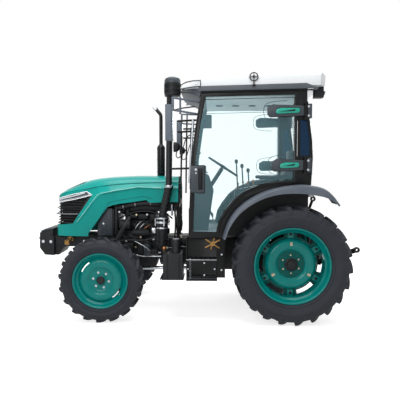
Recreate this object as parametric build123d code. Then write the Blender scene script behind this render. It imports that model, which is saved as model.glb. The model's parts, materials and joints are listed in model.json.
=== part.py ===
from build123d import *
import os
from math import atan2, cos, degrees, hypot, pi, radians, sin, sqrt

# A four-wheel-drive utility tractor with a closed cab, in millimetres.
# +Z is up, the tractor faces -X and its right side is +Y. The origin lies on the ground, under the middle
# of the overall length, which is also the middle of the wheelbase.

# ---------------------------------------------------------------- driving sizes
WHEELBASE = 2200.0
FRONT_TRACK = 1470.0
REAR_TRACK = 1490.0
FRONT_TYRE_R = 495.0
FRONT_TYRE_W = 240.0
FRONT_RIM_R = 322.0
REAR_TYRE_R = 685.0
REAR_TYRE_W = 380.0
REAR_RIM_R = 438.0
FRONT_LUGS = 19          # lugs on each side of the tread
REAR_LUGS = 22
FRONT_FLATS = 24         # flat faces round the tyre and its rim
REAR_FLATS = 30

MOVING_GAP = 6.0         # room between pieces that move past each other
PIN_GAP = 0.3            # room round a pin or shaft in its bore
SEAT_GAP = 0.3           # room between a fitted piece and its curved seat

# the two axles, from which everything else is placed
FRONT_AXLE_X = -WHEELBASE / 2
REAR_AXLE_X = WHEELBASE / 2
FRONT_HUB_Z = FRONT_TYRE_R
REAR_HUB_Z = REAR_TYRE_R

# wheels
RIM_LIP = 22.0           # flange height above the bead seat
RIM_GAUGE = 10.0
RIM_WIDTH_SHARE = 0.82   # rim width over tyre width
RIM_WELL = 32.0          # depth of the well below the bead seat
LUG_HEIGHT_FRONT = 34.0
LUG_HEIGHT_REAR = 40.0
LUG_WIDTH_FRONT = 34.0
LUG_WIDTH_REAR = 44.0
FRONT_SPINDLE_R = 35.0
REAR_SPINDLE_R = 42.0

# front axle
KINGPIN_Y = 585.0
STEER_LIMIT = 38.0
AXLE_BEAM_H = 120.0
AXLE_BEAM_W = 120.0
FORK_GAP = 190.0         # between the ears that hold each knuckle
FORK_EAR = 25.0
KINGPIN_R = 20.0
KNUCKLE_R = 48.0
CARRIER_R = 82.0
CARRIER_END_Y = 690.0
TRUNNION_R = 45.0
STEER_ARM_X = 150.0
TIE_ROD_R = 12.0

# front frame and ballast
RAIL_Z0, RAIL_Z1 = 801.0, 935.0
RAIL_Y = 165.0           # inner face of each rail, which meets the engine's side
RAIL_T = 30.0
TRAY_T = 7.0
WEIGHT_HALF_W = 250.0

# engine and driveline
ENGINE_X0, ENGINE_X1 = 130.0, 620.0      # from the front axle
SUMP_Z = 544.0
CRANKCASE_Z = 640.0
DECK_Z = 1000.0
HEAD_Z = 1130.0
ROCKER_Z = 1230.0
RADIATOR_X0, RADIATOR_X1 = -150.0, 60.0
RADIATOR_TOP_Z = 1307.0
RADIATOR_HALF_W = 250.0
HOUSING_HALF_W = 190.0
HOUSING_Z0, HOUSING_Z1 = 480.0, 900.0
LIFT_COVER_Z = 1100.0
TRUMPET_R = 95.0
TRUMPET_END_Y = 470.0
FLANGE_T = 30.0

# hood
HOOD_WALL = 10.0
HOOD_BOTTOM_Z = 947.0
HOOD_PIN_X, HOOD_PIN_Z, HOOD_PIN_R = 860.0, 1600.0, 12.0
HOOD_LUG_Y, HOOD_LUG_T = 150.0, 10.0
SLAT_PITCH = 33.0
SLAT_T = 9.0

# cab
FLOOR_Z = 1010.0
FLOOR_T = 25.0
PLATFORM_Z = 1160.0
CAB_HALF_W = 722.0       # outer face of the side frames
CAB_FRAME_T = 50.0
WELL_Y = REAR_TRACK / 2 - REAR_TYRE_W / 2 - 55      # outer face of the floor between the rear wheels
SILL_Z = FLOOR_Z - FLOOR_T
DOOR_T = 22.0
DOOR_RING = 34.0
DOOR_LAP = 24.0          # how far the door covers the frame round its opening
DOOR_GLASS_T = 5.0
DOOR_Y = CAB_HALF_W + MOVING_GAP
HINGE_X, HINGE_Y = 150.0, CAB_HALF_W + 46          # from the rear axle
HINGE_PIN_R = 8.0
HINGE_BARREL_R = 14.0
WINDSCREEN_T = 6.0
FENDER_OUT_Y = REAR_TRACK / 2 + REAR_TYRE_W / 2 - 5
FENDER_TOP_Z = 1602.0
FENDER_T = 12.0
FENDER_LIP_T = 12.0
ROOF_HALF_W = CAB_HALF_W + 18
ROOF_RIM_T = 36.0
ROOF_RISE = 0.0231       # the roof climbs this much for each millimetre rearwards

# three-point linkage, measured from the rear axle
LINK_PIVOT = (60.0, 500.0)
LINK_BALL = (850.0, 801.0)
LINK_PIVOT_Y, LINK_BALL_Y = 235.0, 400.0
LINK_EYE_R, LINK_BORE_R, LINK_EYE_T = 35.0, 14.35, 45.0
LINK_HEIGHT, LINK_T = 60.0, 20.0
ROD_SHARE = 0.45         # where the lift rod meets the lower link
LIFT_SHAFT = (90.0, 990.0)
LIFT_SHAFT_R = 32.0
LIFT_ARM_L, LIFT_ARM_ANGLE = 300.0, 25.0
LIFT_ARM_Y = 225.0
TOP_LINK_PIVOT = (205.0, 890.0)
TOP_LINK_L, TOP_LINK_ANGLE = 540.0, 70.0
TOP_LINK_R = 18.0


def fx(d):
    """X of a point d behind the front axle."""
    return FRONT_AXLE_X + d


def rx(d):
    """X of a point d behind the rear axle."""
    return REAR_AXLE_X + d


# ---------------------------------------------------------------- small shapes
def block(x0, x1, y0, y1, z0, z1):
    return Pos((x0 + x1) / 2, (y0 + y1) / 2, (z0 + z1) / 2) * Box(x1 - x0, y1 - y0, z1 - z0)


def outline(points):
    return make_face(Polyline(*points, close=True))


def side_prism(points, y0, y1):
    """An (x, z) outline carried from y0 to y1."""
    return extrude(Plane((0, y1, 0), (1, 0, 0), (0, -1, 0)) * outline(points), y1 - y0)


def front_prism(points, x0, x1):
    """A (y, z) outline carried from x0 to x1."""
    return extrude(Plane((x0, 0, 0), (0, 1, 0), (1, 0, 0)) * outline(points), x1 - x0)


def plan_prism(points, z0, z1):
    """An (x, y) outline carried from z0 to z1."""
    return extrude(Pos(0, 0, z0) * outline(points), z1 - z0)


def rod(p, q, r):
    """A round bar from p to q."""
    a, b = Vector(*p), Vector(*q)
    return extrude(Plane(a, z_dir=b - a) * Circle(r), (b - a).length)


def pipe(points, r, bend):
    """A round pipe along straight runs joined by bends of one radius."""
    path = FilletPolyline(*points, radius=bend)
    return sweep(Plane(path @ 0, z_dir=path % 0) * Circle(r), path)


def spun(points):
    """A (radius, y) outline spun about the Y axis."""
    return revolve(outline(points), Axis.Y)


def mirrored(shape):
    return mirror(shape, about=Plane.XZ)


def pair(shape):
    """The piece and its mirror image across the tractor's middle, as one node of two solids."""
    return Compound(children=[*shape.solids(), *mirrored(shape).solids()])


def group(*shapes):
    return Compound(children=[solid for shape in shapes for solid in shape.solids()])


def save(name, shape):
    solids = shape.solids()
    export_step(solids[0] if len(solids) == 1 else Compound(children=list(solids)), f"parts/{name}.step")


# ---------------------------------------------------------------- wheels
def rim_width(tyre_w):
    return RIM_WIDTH_SHARE * tyre_w


def flat_face(*corners):
    return Face(Wire.make_polygon(corners, close=True))


def faceted(sections, level):
    """A closed solid of flat faces through sections of points; level says that each strip's corners lie in a plane."""
    faces = [flat_face(*sections[0]), flat_face(*sections[-1])]
    for near, far in zip(sections, sections[1:]):
        for k in range(len(near)):
            a, b, c, d = near[k - 1], near[k], far[k], far[k - 1]
            faces += [flat_face(a, b, c, d)] if level else [flat_face(a, b, c), flat_face(a, c, d)]
    return Solid(Shell(faces))


def facet_ring(sections, facets):
    """A form along Y whose sections are regular polygons, given as (y, radius to the flats)."""
    turns = [2 * pi * (k + 0.5) / facets for k in range(facets)]
    corners = [[Vector(r / cos(pi / facets) * cos(a), y, r / cos(pi / facets) * sin(a)) for a in turns]
               for y, r in sections]
    return faceted(corners, level=True)


def lug_reach(width, lug_w):
    """How far each lug runs round the tread to either side of its middle."""
    return 0.5 * lug_w + 0.13 * width


def tread_turn(radius, width, lug_w):
    """The turn that sets a lug's edge straight down, so that the tyre stands on the ground."""
    reach = lug_reach(width, lug_w)
    return degrees(atan2(reach, sqrt(radius**2 - reach**2)))


def tyre(radius, width, rim_r, flats, lugs, lug_h, lug_w):
    """A carcass with flat facets and chevron lugs that lead at the middle."""
    half = width / 2
    crown = radius - lug_h
    flank = (rim_r + crown) / 2
    bead = rim_width(width) / 2 - RIM_GAUGE - SEAT_GAP
    seat = rim_r - RIM_LIP + SEAT_GAP
    carcass = facet_ring(((-bead, rim_r + 14), (-half, flank), (-0.84 * half, crown), (0.84 * half, crown),
                         (half, flank), (bead, rim_r + 14)), flats)
    bore = facet_ring(((-width, seat), (width, seat)), flats)
    reach = lug_reach(width, lug_w)
    top = sqrt(radius**2 - reach**2)
    foot = [(-reach, -6), (-reach + lug_w, -6), (reach, 0.95 * half), (reach - lug_w, 0.95 * half)]
    lug = extrude(Pos(0, 0, crown - 60) * outline(foot), top - crown + 60)
    other = mirrored(lug)
    turn = tread_turn(radius, width, lug_w)
    treads = [Rot(0, turn + 180 / lugs * k, 0) * (lug if k % 2 == 0 else other) for k in range(2 * lugs)]
    return (Rot(0, turn, 0) * (carcass - bore)).fuse(*treads)


def rim_band(radius, width, rim_r, flats, lug_w):
    """Flanges, bead seats and well, with the same flats as the tyre that sits on it."""
    half = rim_width(width) / 2
    edge = half - RIM_GAUGE
    seat = rim_r - RIM_LIP
    well = seat - RIM_WELL - RIM_GAUGE
    flange = facet_ring(((edge, rim_r), (half, rim_r)), flats)
    barrel = facet_ring(((-edge, seat), (edge, seat)), flats)
    bore = [(0.5 * half, well), (edge, seat - RIM_GAUGE), (half + 1, rim_r - RIM_GAUGE)]
    inside = facet_ring([(-y, r) for y, r in bore[::-1]] + bore, flats)
    return Rot(0, tread_turn(radius, width, lug_w), 0) * ((barrel + flange + mirrored(flange)) - inside)


def front_disc():
    """Pressed disc welded in the well, with two vents at its edge, on a hub barrel."""
    edge = (FRONT_RIM_R - RIM_LIP - RIM_WELL - RIM_GAUGE) + 2
    inner = CARRIER_END_Y + MOVING_GAP - FRONT_TRACK / 2
    bore = FRONT_SPINDLE_R + PIN_GAP
    disc = spun([
        (bore, inner), (CARRIER_R, inner), (CARRIER_R, 16), (228, 42), (edge, 18), (edge, 30), (235, 56), (145, 44),
        (130, 28), (57, 28), (57, 40), (bore, 40),
    ])
    vent = Pos(0, 25, 0) * Rot(90, 0, 0) * extrude(SlotArc(CenterArc((0, 0), edge - 20, -17, 34), 14), 60, both=True)
    return disc - Rot(0, 40, 0) * vent - Rot(0, 220, 0) * vent


def rear_disc():
    """A dished disc on a hub barrel, held in the band by eight lugs."""
    well = REAR_RIM_R - RIM_LIP - RIM_WELL - RIM_GAUGE
    inner = TRUMPET_END_Y + FLANGE_T + MOVING_GAP - REAR_TRACK / 2
    bore = REAR_SPINDLE_R + PIN_GAP
    disc = spun([
        (bore, inner), (80, inner), (80, -20), (161, -20), (268, 8), (292, -40), (302, -40), (276, 20), (165, 10),
        (156, -8), (80, -8), (80, 20), (bore, 20),
    ])
    lug = block(290, well + 3, -60, -30, -34, 34)
    return disc.fuse(*[Rot(0, 22.5 + 45 * k, 0) * lug for k in range(8)])


WHEELS = (      # name, axle x, hub z, track, disc, tyre radius, width, rim radius, flats, lugs, lug height, lug width
    ("front", FRONT_AXLE_X, FRONT_HUB_Z, FRONT_TRACK, front_disc, FRONT_TYRE_R, FRONT_TYRE_W, FRONT_RIM_R,
     FRONT_FLATS, FRONT_LUGS, LUG_HEIGHT_FRONT, LUG_WIDTH_FRONT),
    ("rear", REAR_AXLE_X, REAR_HUB_Z, REAR_TRACK, rear_disc, REAR_TYRE_R, REAR_TYRE_W, REAR_RIM_R,
     REAR_FLATS, REAR_LUGS, LUG_HEIGHT_REAR, LUG_WIDTH_REAR),
)


def wheels():
    for name, x, z, track, disc, radius, width, rim_r, flats, lugs, lug_h, lug_w in WHEELS:
        place = Pos(x, track / 2, z)
        rim = rim_band(radius, width, rim_r, flats, lug_w) + disc()
        for part, shape in (("rim", rim), ("tyre", tyre(radius, width, rim_r, flats, lugs, lug_h, lug_w))):
            right = place * shape
            save(f"{name}_{part}_right", right)
            save(f"{name}_{part}_left", mirrored(right))


# ---------------------------------------------------------------- front axle
def front_axle():
    x, z = FRONT_AXLE_X, FRONT_HUB_Z
    half_w, half_h = AXLE_BEAM_W / 2, AXLE_BEAM_H / 2
    ear_in, ear_out = FORK_GAP / 2, FORK_GAP / 2 + FORK_EAR
    web_y = KINGPIN_Y - KNUCKLE_R - MOVING_GAP
    half_beam = front_prism(
        [(0, z - half_h - 20), (200, z - half_h), (web_y - 25, z - half_h), (web_y - 25, z - ear_out),
         (web_y, z - ear_out), (web_y, z + ear_out), (web_y - 25, z + ear_out), (web_y - 25, z + half_h),
         (200, z + half_h), (0, z + half_h + 20)], x - half_w, x + half_w)
    ear = block(x - half_w, x + half_w, web_y - 5, KINGPIN_Y + 40, z + ear_in, z + ear_out)
    ears = ear + Pos(0, 0, -ear_in - ear_out) * ear
    pin_bore = rod((x, KINGPIN_Y, z - ear_out - 1), (x, KINGPIN_Y, z + ear_out + 1), KINGPIN_R + PIN_GAP)
    half_axle = half_beam + ears - pin_bore
    gear_case = rod((x - 95, 0, z), (x + 95, 0, z), 100)
    trunnions = rod((x - 135, 0, z), (x + 135, 0, z), TRUNNION_R)
    save("front_axle_beam", half_axle + mirrored(half_axle) + gear_case + trunnions)

    # each knuckle turns on its kingpins and carries the wheel's spindle
    drum = rod((x, KINGPIN_Y, z - ear_in + MOVING_GAP), (x, KINGPIN_Y, z + ear_in - MOVING_GAP), KNUCKLE_R)
    pins = rod((x, KINGPIN_Y, z - ear_out), (x, KINGPIN_Y, z + ear_out), KINGPIN_R)
    carrier = rod((x, KINGPIN_Y + 20, z), (x, CARRIER_END_Y, z), CARRIER_R)
    spindle = rod((x, CARRIER_END_Y, z), (x, FRONT_TRACK / 2 + 38, z), FRONT_SPINDLE_R)
    arm = plan_prism([(x, KINGPIN_Y + 25), (x, KINGPIN_Y + 75), (x + STEER_ARM_X + 22, KINGPIN_Y + 22),
                      (x + STEER_ARM_X + 22, KINGPIN_Y - 22), (x + STEER_ARM_X - 22, KINGPIN_Y - 22)],
                     z - 60, z - 40)
    knuckle = drum + pins + carrier + spindle + arm
    save("knuckle_right", knuckle)
    save("knuckle_left", mirrored(knuckle))

    rod_z = z - 60 - SEAT_GAP - 15
    rod_x = x + STEER_ARM_X
    eyes = [rod((rod_x, s * KINGPIN_Y, rod_z - 15), (rod_x, s * KINGPIN_Y, rod_z + 15), 20) for s in (-1, 1)]
    bar = rod((rod_x, -KINGPIN_Y, rod_z), (rod_x, KINGPIN_Y, rod_z), TIE_ROD_R)
    save("tie_rod", bar + eyes[0] + eyes[1])


# ---------------------------------------------------------------- chassis
def front_frame():
    axle_z = FRONT_HUB_Z
    x0, x1 = fx(-526), fx(200)
    rail = block(x0, x1, RAIL_Y, RAIL_Y + RAIL_T, RAIL_Z0, RAIL_Z1)
    nose_plate = block(x0, x0 + 20, -RAIL_Y, RAIL_Y, RAIL_Z0, RAIL_Z1)
    tray = block(fx(-430), fx(RADIATOR_X1), -RADIATOR_HALF_W, RADIATOR_HALF_W, RAIL_Z1, RAIL_Z1 + TRAY_T)
    bridge = block(fx(-135), fx(ENGINE_X0), -RAIL_Y, RAIL_Y, RAIL_Z0, RAIL_Z0 + 40)
    hanger = block(fx(100), fx(ENGINE_X0), -90, 90, axle_z - 70, RAIL_Z0 + 5)
    trunnion_bore = rod((fx(-140), 0, axle_z), (fx(140), 0, axle_z), TRUNNION_R + PIN_GAP)
    hangers = (hanger + Pos(-(100 + ENGINE_X0), 0, 0) * hanger) - trunnion_bore
    return rail + mirrored(rail) + nose_plate + tray + bridge + hangers


def front_weight():
    """Ballast block on its carrier, with a chamfered nose and a lid."""
    body = side_prism([
        (fx(-885), 793), (fx(-880), 985), (fx(-808), 1003), (fx(-712), 1020), (fx(-712), 925), (fx(-526), 925),
        (fx(-526), 815), (fx(-600), 787), (fx(-660), 692), (fx(-820), 702),
    ], -WEIGHT_HALF_W, WEIGHT_HALF_W)
    narrow = block(fx(-700), fx(-500), RAIL_Y + RAIL_T, WEIGHT_HALF_W + 1, 600, 1100)
    return body - narrow - mirrored(narrow)


def engine():
    x0, x1 = fx(ENGINE_X0), fx(ENGINE_X1)
    case = block(x0, x1, -RAIL_Y, RAIL_Y, CRANKCASE_Z, DECK_Z)
    sump = side_prism([(x0 + 40, CRANKCASE_Z), (x0 + 60, SUMP_Z + 30), (x0 + 200, SUMP_Z), (x1 - 40, SUMP_Z),
                       (x1 - 20, CRANKCASE_Z)], -130, 130)
    head = block(x0 + 20, x1 - 20, -120, 120, DECK_Z, HEAD_Z)
    rocker = block(x0 + 50, x1 - 50, -85, 85, HEAD_Z, ROCKER_Z)
    rocker = fillet(rocker.edges().filter_by(Axis.X).group_by(Axis.Z)[-1], 30)
    pulley = rod((x0 - 45, 0, 940), (x0, 0, 940), 85)
    flywheel = rod((x1, 0, 750), (fx(633), 0, 750), 190)
    return case + sump + head + rocker + pulley + flywheel


def engine_fittings():
    """Pump, filters, alternator and pipes that sit on the open engine's sides."""
    side = RAIL_Y
    x = fx(0)
    pieces = []
    # name, radius, x0, x1, y of the axis, z of the axis: round pieces that lie along the engine's left side
    for _, r, x0, x1, y, z in (
        ("injection pump", 50, 300, 500, 240, 985),
        ("alternator", 62, 150, 270, 262, 1090),
        ("starter", 44, 470, 612, 235, 745),
    ):
        body = rod((x + x0, -y, z), (x + x1, -y, z), r)
        foot = block(x + x0 + 30, x + x1 - 30, -y, -side, z - 30, z + 12)
        pieces.append(body + foot)
    filter_can = rod((x + 400, -230, 720), (x + 400, -230, 860), 46)
    filter_head = block(x + 355, x + 445, -276, -side, 860, 905)
    pieces.append(filter_can + filter_head)
    manifold = block(x + 170, x + 580, -190, -120, 1040, 1100)
    inlet = pipe([(x + 580 - 1, -155, 1070), (x + 660, -155, 1070), (x + 660, -300, 1070)], 30, 50)
    pieces.append(manifold + inlet)
    exhaust = block(x + 170, x + 580, 120, 185, 1030, 1090)
    turbo = rod((x + 400, 185, 1060), (x + 400, 250, 1060), 62)
    pieces.append(exhaust + turbo)
    cap_bowl = rod((x + 222, -150, 1150), (x + 222, -150, 1275), 36)
    cap = rod((x + 222, -150, 1275), (x + 222, -150, 1355), 27)
    stay = block(x + 200, x + 244, -120, -85, HEAD_Z, 1190)
    pieces.append(cap_bowl + cap + (stay + block(x + 200, x + 244, -150, -118, 1160, 1190)))
    return group(*pieces)


def radiator():
    core = block(fx(RADIATOR_X0), fx(-60), -RADIATOR_HALF_W, RADIATOR_HALF_W, RAIL_Z1 + TRAY_T, RADIATOR_TOP_Z)
    shroud = block(fx(-60), fx(RADIATOR_X1), -RADIATOR_HALF_W + 15, RADIATOR_HALF_W - 15, RAIL_Z1 + TRAY_T,
                   RADIATOR_TOP_Z - 25)
    return core + shroud


AIR_X, AIR_Y, AIR_R = 682.0, 430.0, 72.0
PIPE_R = 38.0
STACK_LEAN = 83.0        # how far the hose carries the stack's foot behind the air cleaner


def intake():
    """Air cleaner, hose, stack and ribbed pre-cleaner on the left of the hood."""
    x, y = fx(AIR_X), -AIR_Y
    can = rod((x, y, 867), (x, y, 1165), AIR_R)
    flange = rod((x, y, 1165), (x, y, 1199), AIR_R + 8)
    foot = x + STACK_LEAN
    hose = rod((x, y, 1199), (foot - 2, y, 1560), 47)
    clamp = rod((foot - 1, y, 1550), (foot + 1, y, 1590), 52)
    stack = rod((foot, y, 1590), (foot + 17, y, 2660), PIPE_R)
    top = (foot + 50, y)
    cleaner = rod((*top, 2650), (*top, 2840), 94)
    ribs = [rod((*top, 2668 + 56 * k), (*top, 2686 + 56 * k), 99) for k in range(3)]
    dome = Pos(*top, 2840) * Cone(94, 60, 32, align=(Align.CENTER, Align.CENTER, Align.MIN))
    stay = block(x - 40, x + 40, y, -HOUSING_HALF_W, 868, 893)
    return (can + flange + hose + clamp + stack + cleaner + dome + stay).fuse(*ribs)


def exhaust():
    """Elbow from the engine's right side, muffler and bent tail pipe beside the hood."""
    x, y = fx(591), 430.0
    elbow = pipe([(fx(400), 250, 1060), (fx(400), 345, 1060), (x, y, 1060), (x, y, 1707)], 30, 60)
    muffler = rod((x, y, 1640), (x, y, 2083), 54)
    cone = Pos(x, y, 2083) * Cone(54, 24, 40, align=(Align.CENTER, Align.CENTER, Align.MIN))
    tail = pipe([(x, y, 2120), (x, y, 2520), (x - 75, y, 2610)], 24, 60)
    return elbow + muffler + cone + tail


def clutch_housing():
    w = HOUSING_HALF_W
    return front_prism([(-w, 600), (-w, 900), (-120, 930), (120, 930), (w, 900), (w, 600), (120, 560), (-120, 560)],
                       fx(633), fx(1000))


def gearbox():
    """Clutch housing, gearbox and rear housing, bolted end to end, with the lift cover on top."""
    w = HOUSING_HALF_W
    clutch = clutch_housing()
    middle = block(fx(1000), rx(-300), -w + 20, w - 20, HOUSING_Z0 + 30, HOUSING_Z1)
    rear = block(rx(-300), rx(150), -w, w, HOUSING_Z0, HOUSING_Z1)
    cover = block(rx(-200), rx(150), -w + 20, w - 20, HOUSING_Z1, LIFT_COVER_Z)
    cab_mount = block(rx(-1180), rx(-1100), -330, 330, 870, SILL_Z)
    shaft_bore = rod((rx(LIFT_SHAFT[0]), -w, LIFT_SHAFT[1]), (rx(LIFT_SHAFT[0]), w, LIFT_SHAFT[1]),
                     LIFT_SHAFT_R + PIN_GAP)
    pto_pad = rod((rx(150), 0, 600), (rx(175), 0, 600), 70)
    top_ears = [block(rx(140), rx(235), s * 39 - 9, s * 39 + 9, 850, 925) for s in (-1, 1)]
    top_pin = rod((rx(TOP_LINK_PIVOT[0]), -48, TOP_LINK_PIVOT[1]), (rx(TOP_LINK_PIVOT[0]), 48, TOP_LINK_PIVOT[1]), 12)
    pivot_pins = rod((rx(LINK_PIVOT[0]), -LINK_PIVOT_Y - 25, LINK_PIVOT[1]),
                     (rx(LINK_PIVOT[0]), LINK_PIVOT_Y + 25, LINK_PIVOT[1]), 14)
    body = clutch + middle + cab_mount + rear + cover + pto_pad + top_ears[0] + top_ears[1]
    return body - shaft_bore + top_pin + pivot_pins


def rear_axle():
    half = rod((rx(0), HOUSING_HALF_W, REAR_HUB_Z), (rx(0), TRUMPET_END_Y, REAR_HUB_Z), TRUMPET_R)
    flange = rod((rx(0), TRUMPET_END_Y, REAR_HUB_Z), (rx(0), TRUMPET_END_Y + FLANGE_T, REAR_HUB_Z), TRUMPET_R + 30)
    spindle = rod((rx(0), TRUMPET_END_Y + FLANGE_T, REAR_HUB_Z), (rx(0), REAR_TRACK / 2 + 18, REAR_HUB_Z),
                  REAR_SPINDLE_R)
    cab_mount = block(rx(-110), rx(-30), 330, 410, REAR_HUB_Z, PLATFORM_Z - FLOOR_T)
    return pair(half + flange + spindle + cab_mount)


def drive_shaft():
    return rod((fx(135) + SEAT_GAP, 0, FRONT_HUB_Z), (fx(1000), 0, FRONT_HUB_Z), 24)


def drawbar():
    tongue = block(rx(-60), rx(520), -35, 35, 380, 412)
    eye = rod((rx(470), 0, 370), (rx(470), 0, 420), 16.5)
    hanger = block(rx(20), rx(140), -70, 70, 412, HOUSING_Z0)
    return tongue - eye + hanger


def pto_shaft():
    return rod((rx(175) + SEAT_GAP, 0, 600), (rx(255), 0, 600), 17.5)


# ---------------------------------------------------------------- hood
HOOD_SECTIONS = (   # x from the front axle, crown z, shoulder y, shoulder z, crease y, crease z, lower y
    (-655, 1470, 150, 1448, 235, 1010, 235),
    (-600, 1502, 200, 1470, 285, 1010, 285),
    (-332, 1620, 240, 1522, 322, 1165, 318),
    (-112, 1665, 255, 1562, 335, 1462, 325),
    (100, 1683, 262, 1592, 338, 1511, 330),
    (386, 1695, 270, 1608, 340, 1557, 332),
    (877, 1688, 270, 1612, 340, 1540, 332),
)


def hood_skin(inset, extra=0.0):
    """The hood's outer form, moved inwards by inset; extra carries it past its open edges."""
    sections = []
    for k, (x, crown, shoulder_y, shoulder_z, crease_y, crease_z, low_y) in enumerate(HOOD_SECTIONS):
        if k == 0:
            x += inset
        if k == len(HOOD_SECTIONS) - 1:
            x += extra
        bottom = HOOD_BOTTOM_Z - extra
        sy, sz = shoulder_y - 0.7 * inset, shoulder_z - 0.8 * inset
        cy, low = crease_y - inset, low_y - inset
        top = crown - inset
        half = [(0.5 * sy, top - 0.25 * (top - sz)), (sy, sz), (cy, crease_z), (low, bottom)]
        section = [(0, top), *half, *[(-y, z) for y, z in half[::-1]]]
        sections.append([Vector(fx(x), y, z) for y, z in section])
    return faceted(sections, level=False)


def zone(points, half_w=400.0):
    """A cut through the hood, outlined from the side as (x from the front axle, z)."""
    return side_prism([(fx(x), z) for x, z in points], -half_w, half_w)


GRILLE_ZONE = ((-700, 1088), (-444, 1103), (-205, 1458), (-700, 1357))
LAMP_ZONE = ((-700, 1357), (-205, 1458), (-278, 1500), (-700, 1408))
BAY_ZONE = ((-249, 900), (-249, 981), (-1, 1317), (130, 1351), (477, 1401), (539, 1367), (980, 1379), (980, 900))
NOSE_BRIDGE_Y = 60.0


def hood():
    skin = hood_skin(0) - hood_skin(HOOD_WALL, 60)
    keep = block(fx(-700), fx(0), -NOSE_BRIDGE_Y, NOSE_BRIDGE_Y, 1300, 1520)
    lamp_cut = zone(LAMP_ZONE) - keep
    shell = skin - zone(GRILLE_ZONE) - lamp_cut - zone(BAY_ZONE)
    lug = side_prism([(fx(HOOD_PIN_X - 60), 1672), (fx(HOOD_PIN_X + 17), 1672), (fx(HOOD_PIN_X + 17), HOOD_PIN_Z - 15),
                      (fx(HOOD_PIN_X - 15), HOOD_PIN_Z - 15)], HOOD_LUG_Y, HOOD_LUG_Y + HOOD_LUG_T)
    lug = lug & hood_skin(HOOD_WALL - 3, 10)
    bore = rod((fx(HOOD_PIN_X), -200, HOOD_PIN_Z), (fx(HOOD_PIN_X), 200, HOOD_PIN_Z), HOOD_PIN_R + PIN_GAP)
    save("hood_shell", shell + lug + mirrored(lug) - bore)

    liner = hood_skin(5) - hood_skin(24, 60)
    inside = zone(GRILLE_ZONE)
    slats = [block(fx(-700), fx(0), -400, 400, z, z + SLAT_T)
             for z in (1110 + SLAT_PITCH * k for k in range(10))]
    posts = [block(fx(-700), fx(-560), y - 7, y + 7, 1080, 1460) for y in (-120, 0, 120)]
    edge = zone(((-462, 1080), (-444, 1080), (-190, 1458), (-230, 1480)))
    bars = edge.fuse(*slats, *posts)
    save("hood_grille", liner & inside & bars)

    lamps = (hood_skin(1) - hood_skin(36, 60)) & zone(LAMP_ZONE)
    save("headlamps", lamps - keep)


def hood_bracket():
    """Two posts on the clutch housing that carry the hood's hinge pin."""
    y0 = HOOD_LUG_Y + HOOD_LUG_T + MOVING_GAP
    x = fx(HOOD_PIN_X)
    post = block(x - 18, x + 18, y0, y0 + 22, 895, HOOD_PIN_Z + 16)
    foot = block(x - 50, x + 50, 100, y0 + 22, 910, 935)
    pin = rod((x, -y0 - 22, HOOD_PIN_Z), (x, y0 + 22, HOOD_PIN_Z), HOOD_PIN_R)
    cross = block(x - 12, x + 12, -y0, y0, 1300, 1330)
    posts = (post + foot) + mirrored(post + foot) + cross + pin
    return posts - clutch_housing()


# ---------------------------------------------------------------- tank, steps and mirrors
def side_boxes():
    """Fuel tank on the left and battery box on the right, each on a shelf from the clutch housing."""
    x0, x1 = rx(-1480), rx(-1250)
    box = block(x0, x1, -760, -430, 510, 799)
    box = fillet(box.edges().filter_by(Axis.Y), 18)
    plinth = block(x0 - 38, x1 + 10, -765, -425, 495, 510)
    shelf = block(x0 + 30, x1 - 30, -430, -HOUSING_HALF_W, 640, 665)
    tank = box + plinth + shelf
    filler = rod((rx(-1336), -600, 799), (rx(-1336), -600, 905), 55)
    return tank + filler, mirrored(tank)


STEP_X0, STEP_X1 = -1210.0, -849.0
STEP_TOPS = (743.0, 528.0)


def steps():
    """Two treads hung from the cab floor, and the black column behind them."""
    out, inn = CAB_HALF_W + 53, CAB_HALF_W - 97
    treads = [block(rx(STEP_X0), rx(STEP_X1), inn, out, top - 25, top) for top in STEP_TOPS]
    sides = [block(rx(x), rx(x + 8), inn, out - 20, 489, SILL_Z) for x in (STEP_X0, STEP_X1 - 8)]
    back = block(rx(STEP_X0), rx(STEP_X1), inn - 6, inn, 489, SILL_Z)
    ledge = block(rx(STEP_X0), rx(STEP_X1), inn, out, 489, 497)
    column = block(rx(STEP_X1), rx(-755), 480, 640, 500, SILL_Z)
    left = (back + ledge + column).fuse(*treads, *sides)
    return pair(left)


# ---------------------------------------------------------------- cab
def roof_z(x):
    """Height of the top of the cab's frame at x from the rear axle."""
    return FRAME_TOP_Z + ROOF_RISE * (x - PILLAR[-1][0])


FRAME_TOP_Z = 2666.0
PILLAR = ((-1184, SILL_Z), (-1184, 1056), (-1153, 1909), (-1097, 2309), (-1036, FRAME_TOP_Z))   # front edge, (x, z)
CAB_REAR = ((172, 2565), (232, 2113), (243, 1908), (228, 1611))
FENDER = (      # x from the rear axle, z of the top, depth of the outer lip
    (-793, 1000, 22), (-725, 1192, 42), (-609, 1341, 50), (-399, 1491, 60), (-189, 1565, 72), (28, 1598, 92),
    (187, FENDER_TOP_Z, 105), (342, 1566, 98), (442, 1491, 64), (526, 1384, 16),
)


def fender_curve(inset=lambda lip: 0.0):
    """The fender's outline, each point moved towards the wheel's centre by inset(lip depth)."""
    points = []
    for x, z, lip in FENDER:
        dx, dz = x, z - REAR_HUB_Z
        share = 1 - inset(lip) / hypot(dx, dz)
        points.append((rx(dx * share), REAR_HUB_Z + dz * share))
    return points


def fender_band(inset, y0, y1):
    outer, inner = fender_curve(), fender_curve(inset)
    return side_prism(outer + inner[::-1], y0, y1)


def under_fender(y0, y1):
    """Everything below the fender's top, used to seat the cab on it."""
    return side_prism(fender_curve() + [(rx(526), 800), (rx(-793), 800)], y0, y1)


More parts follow.
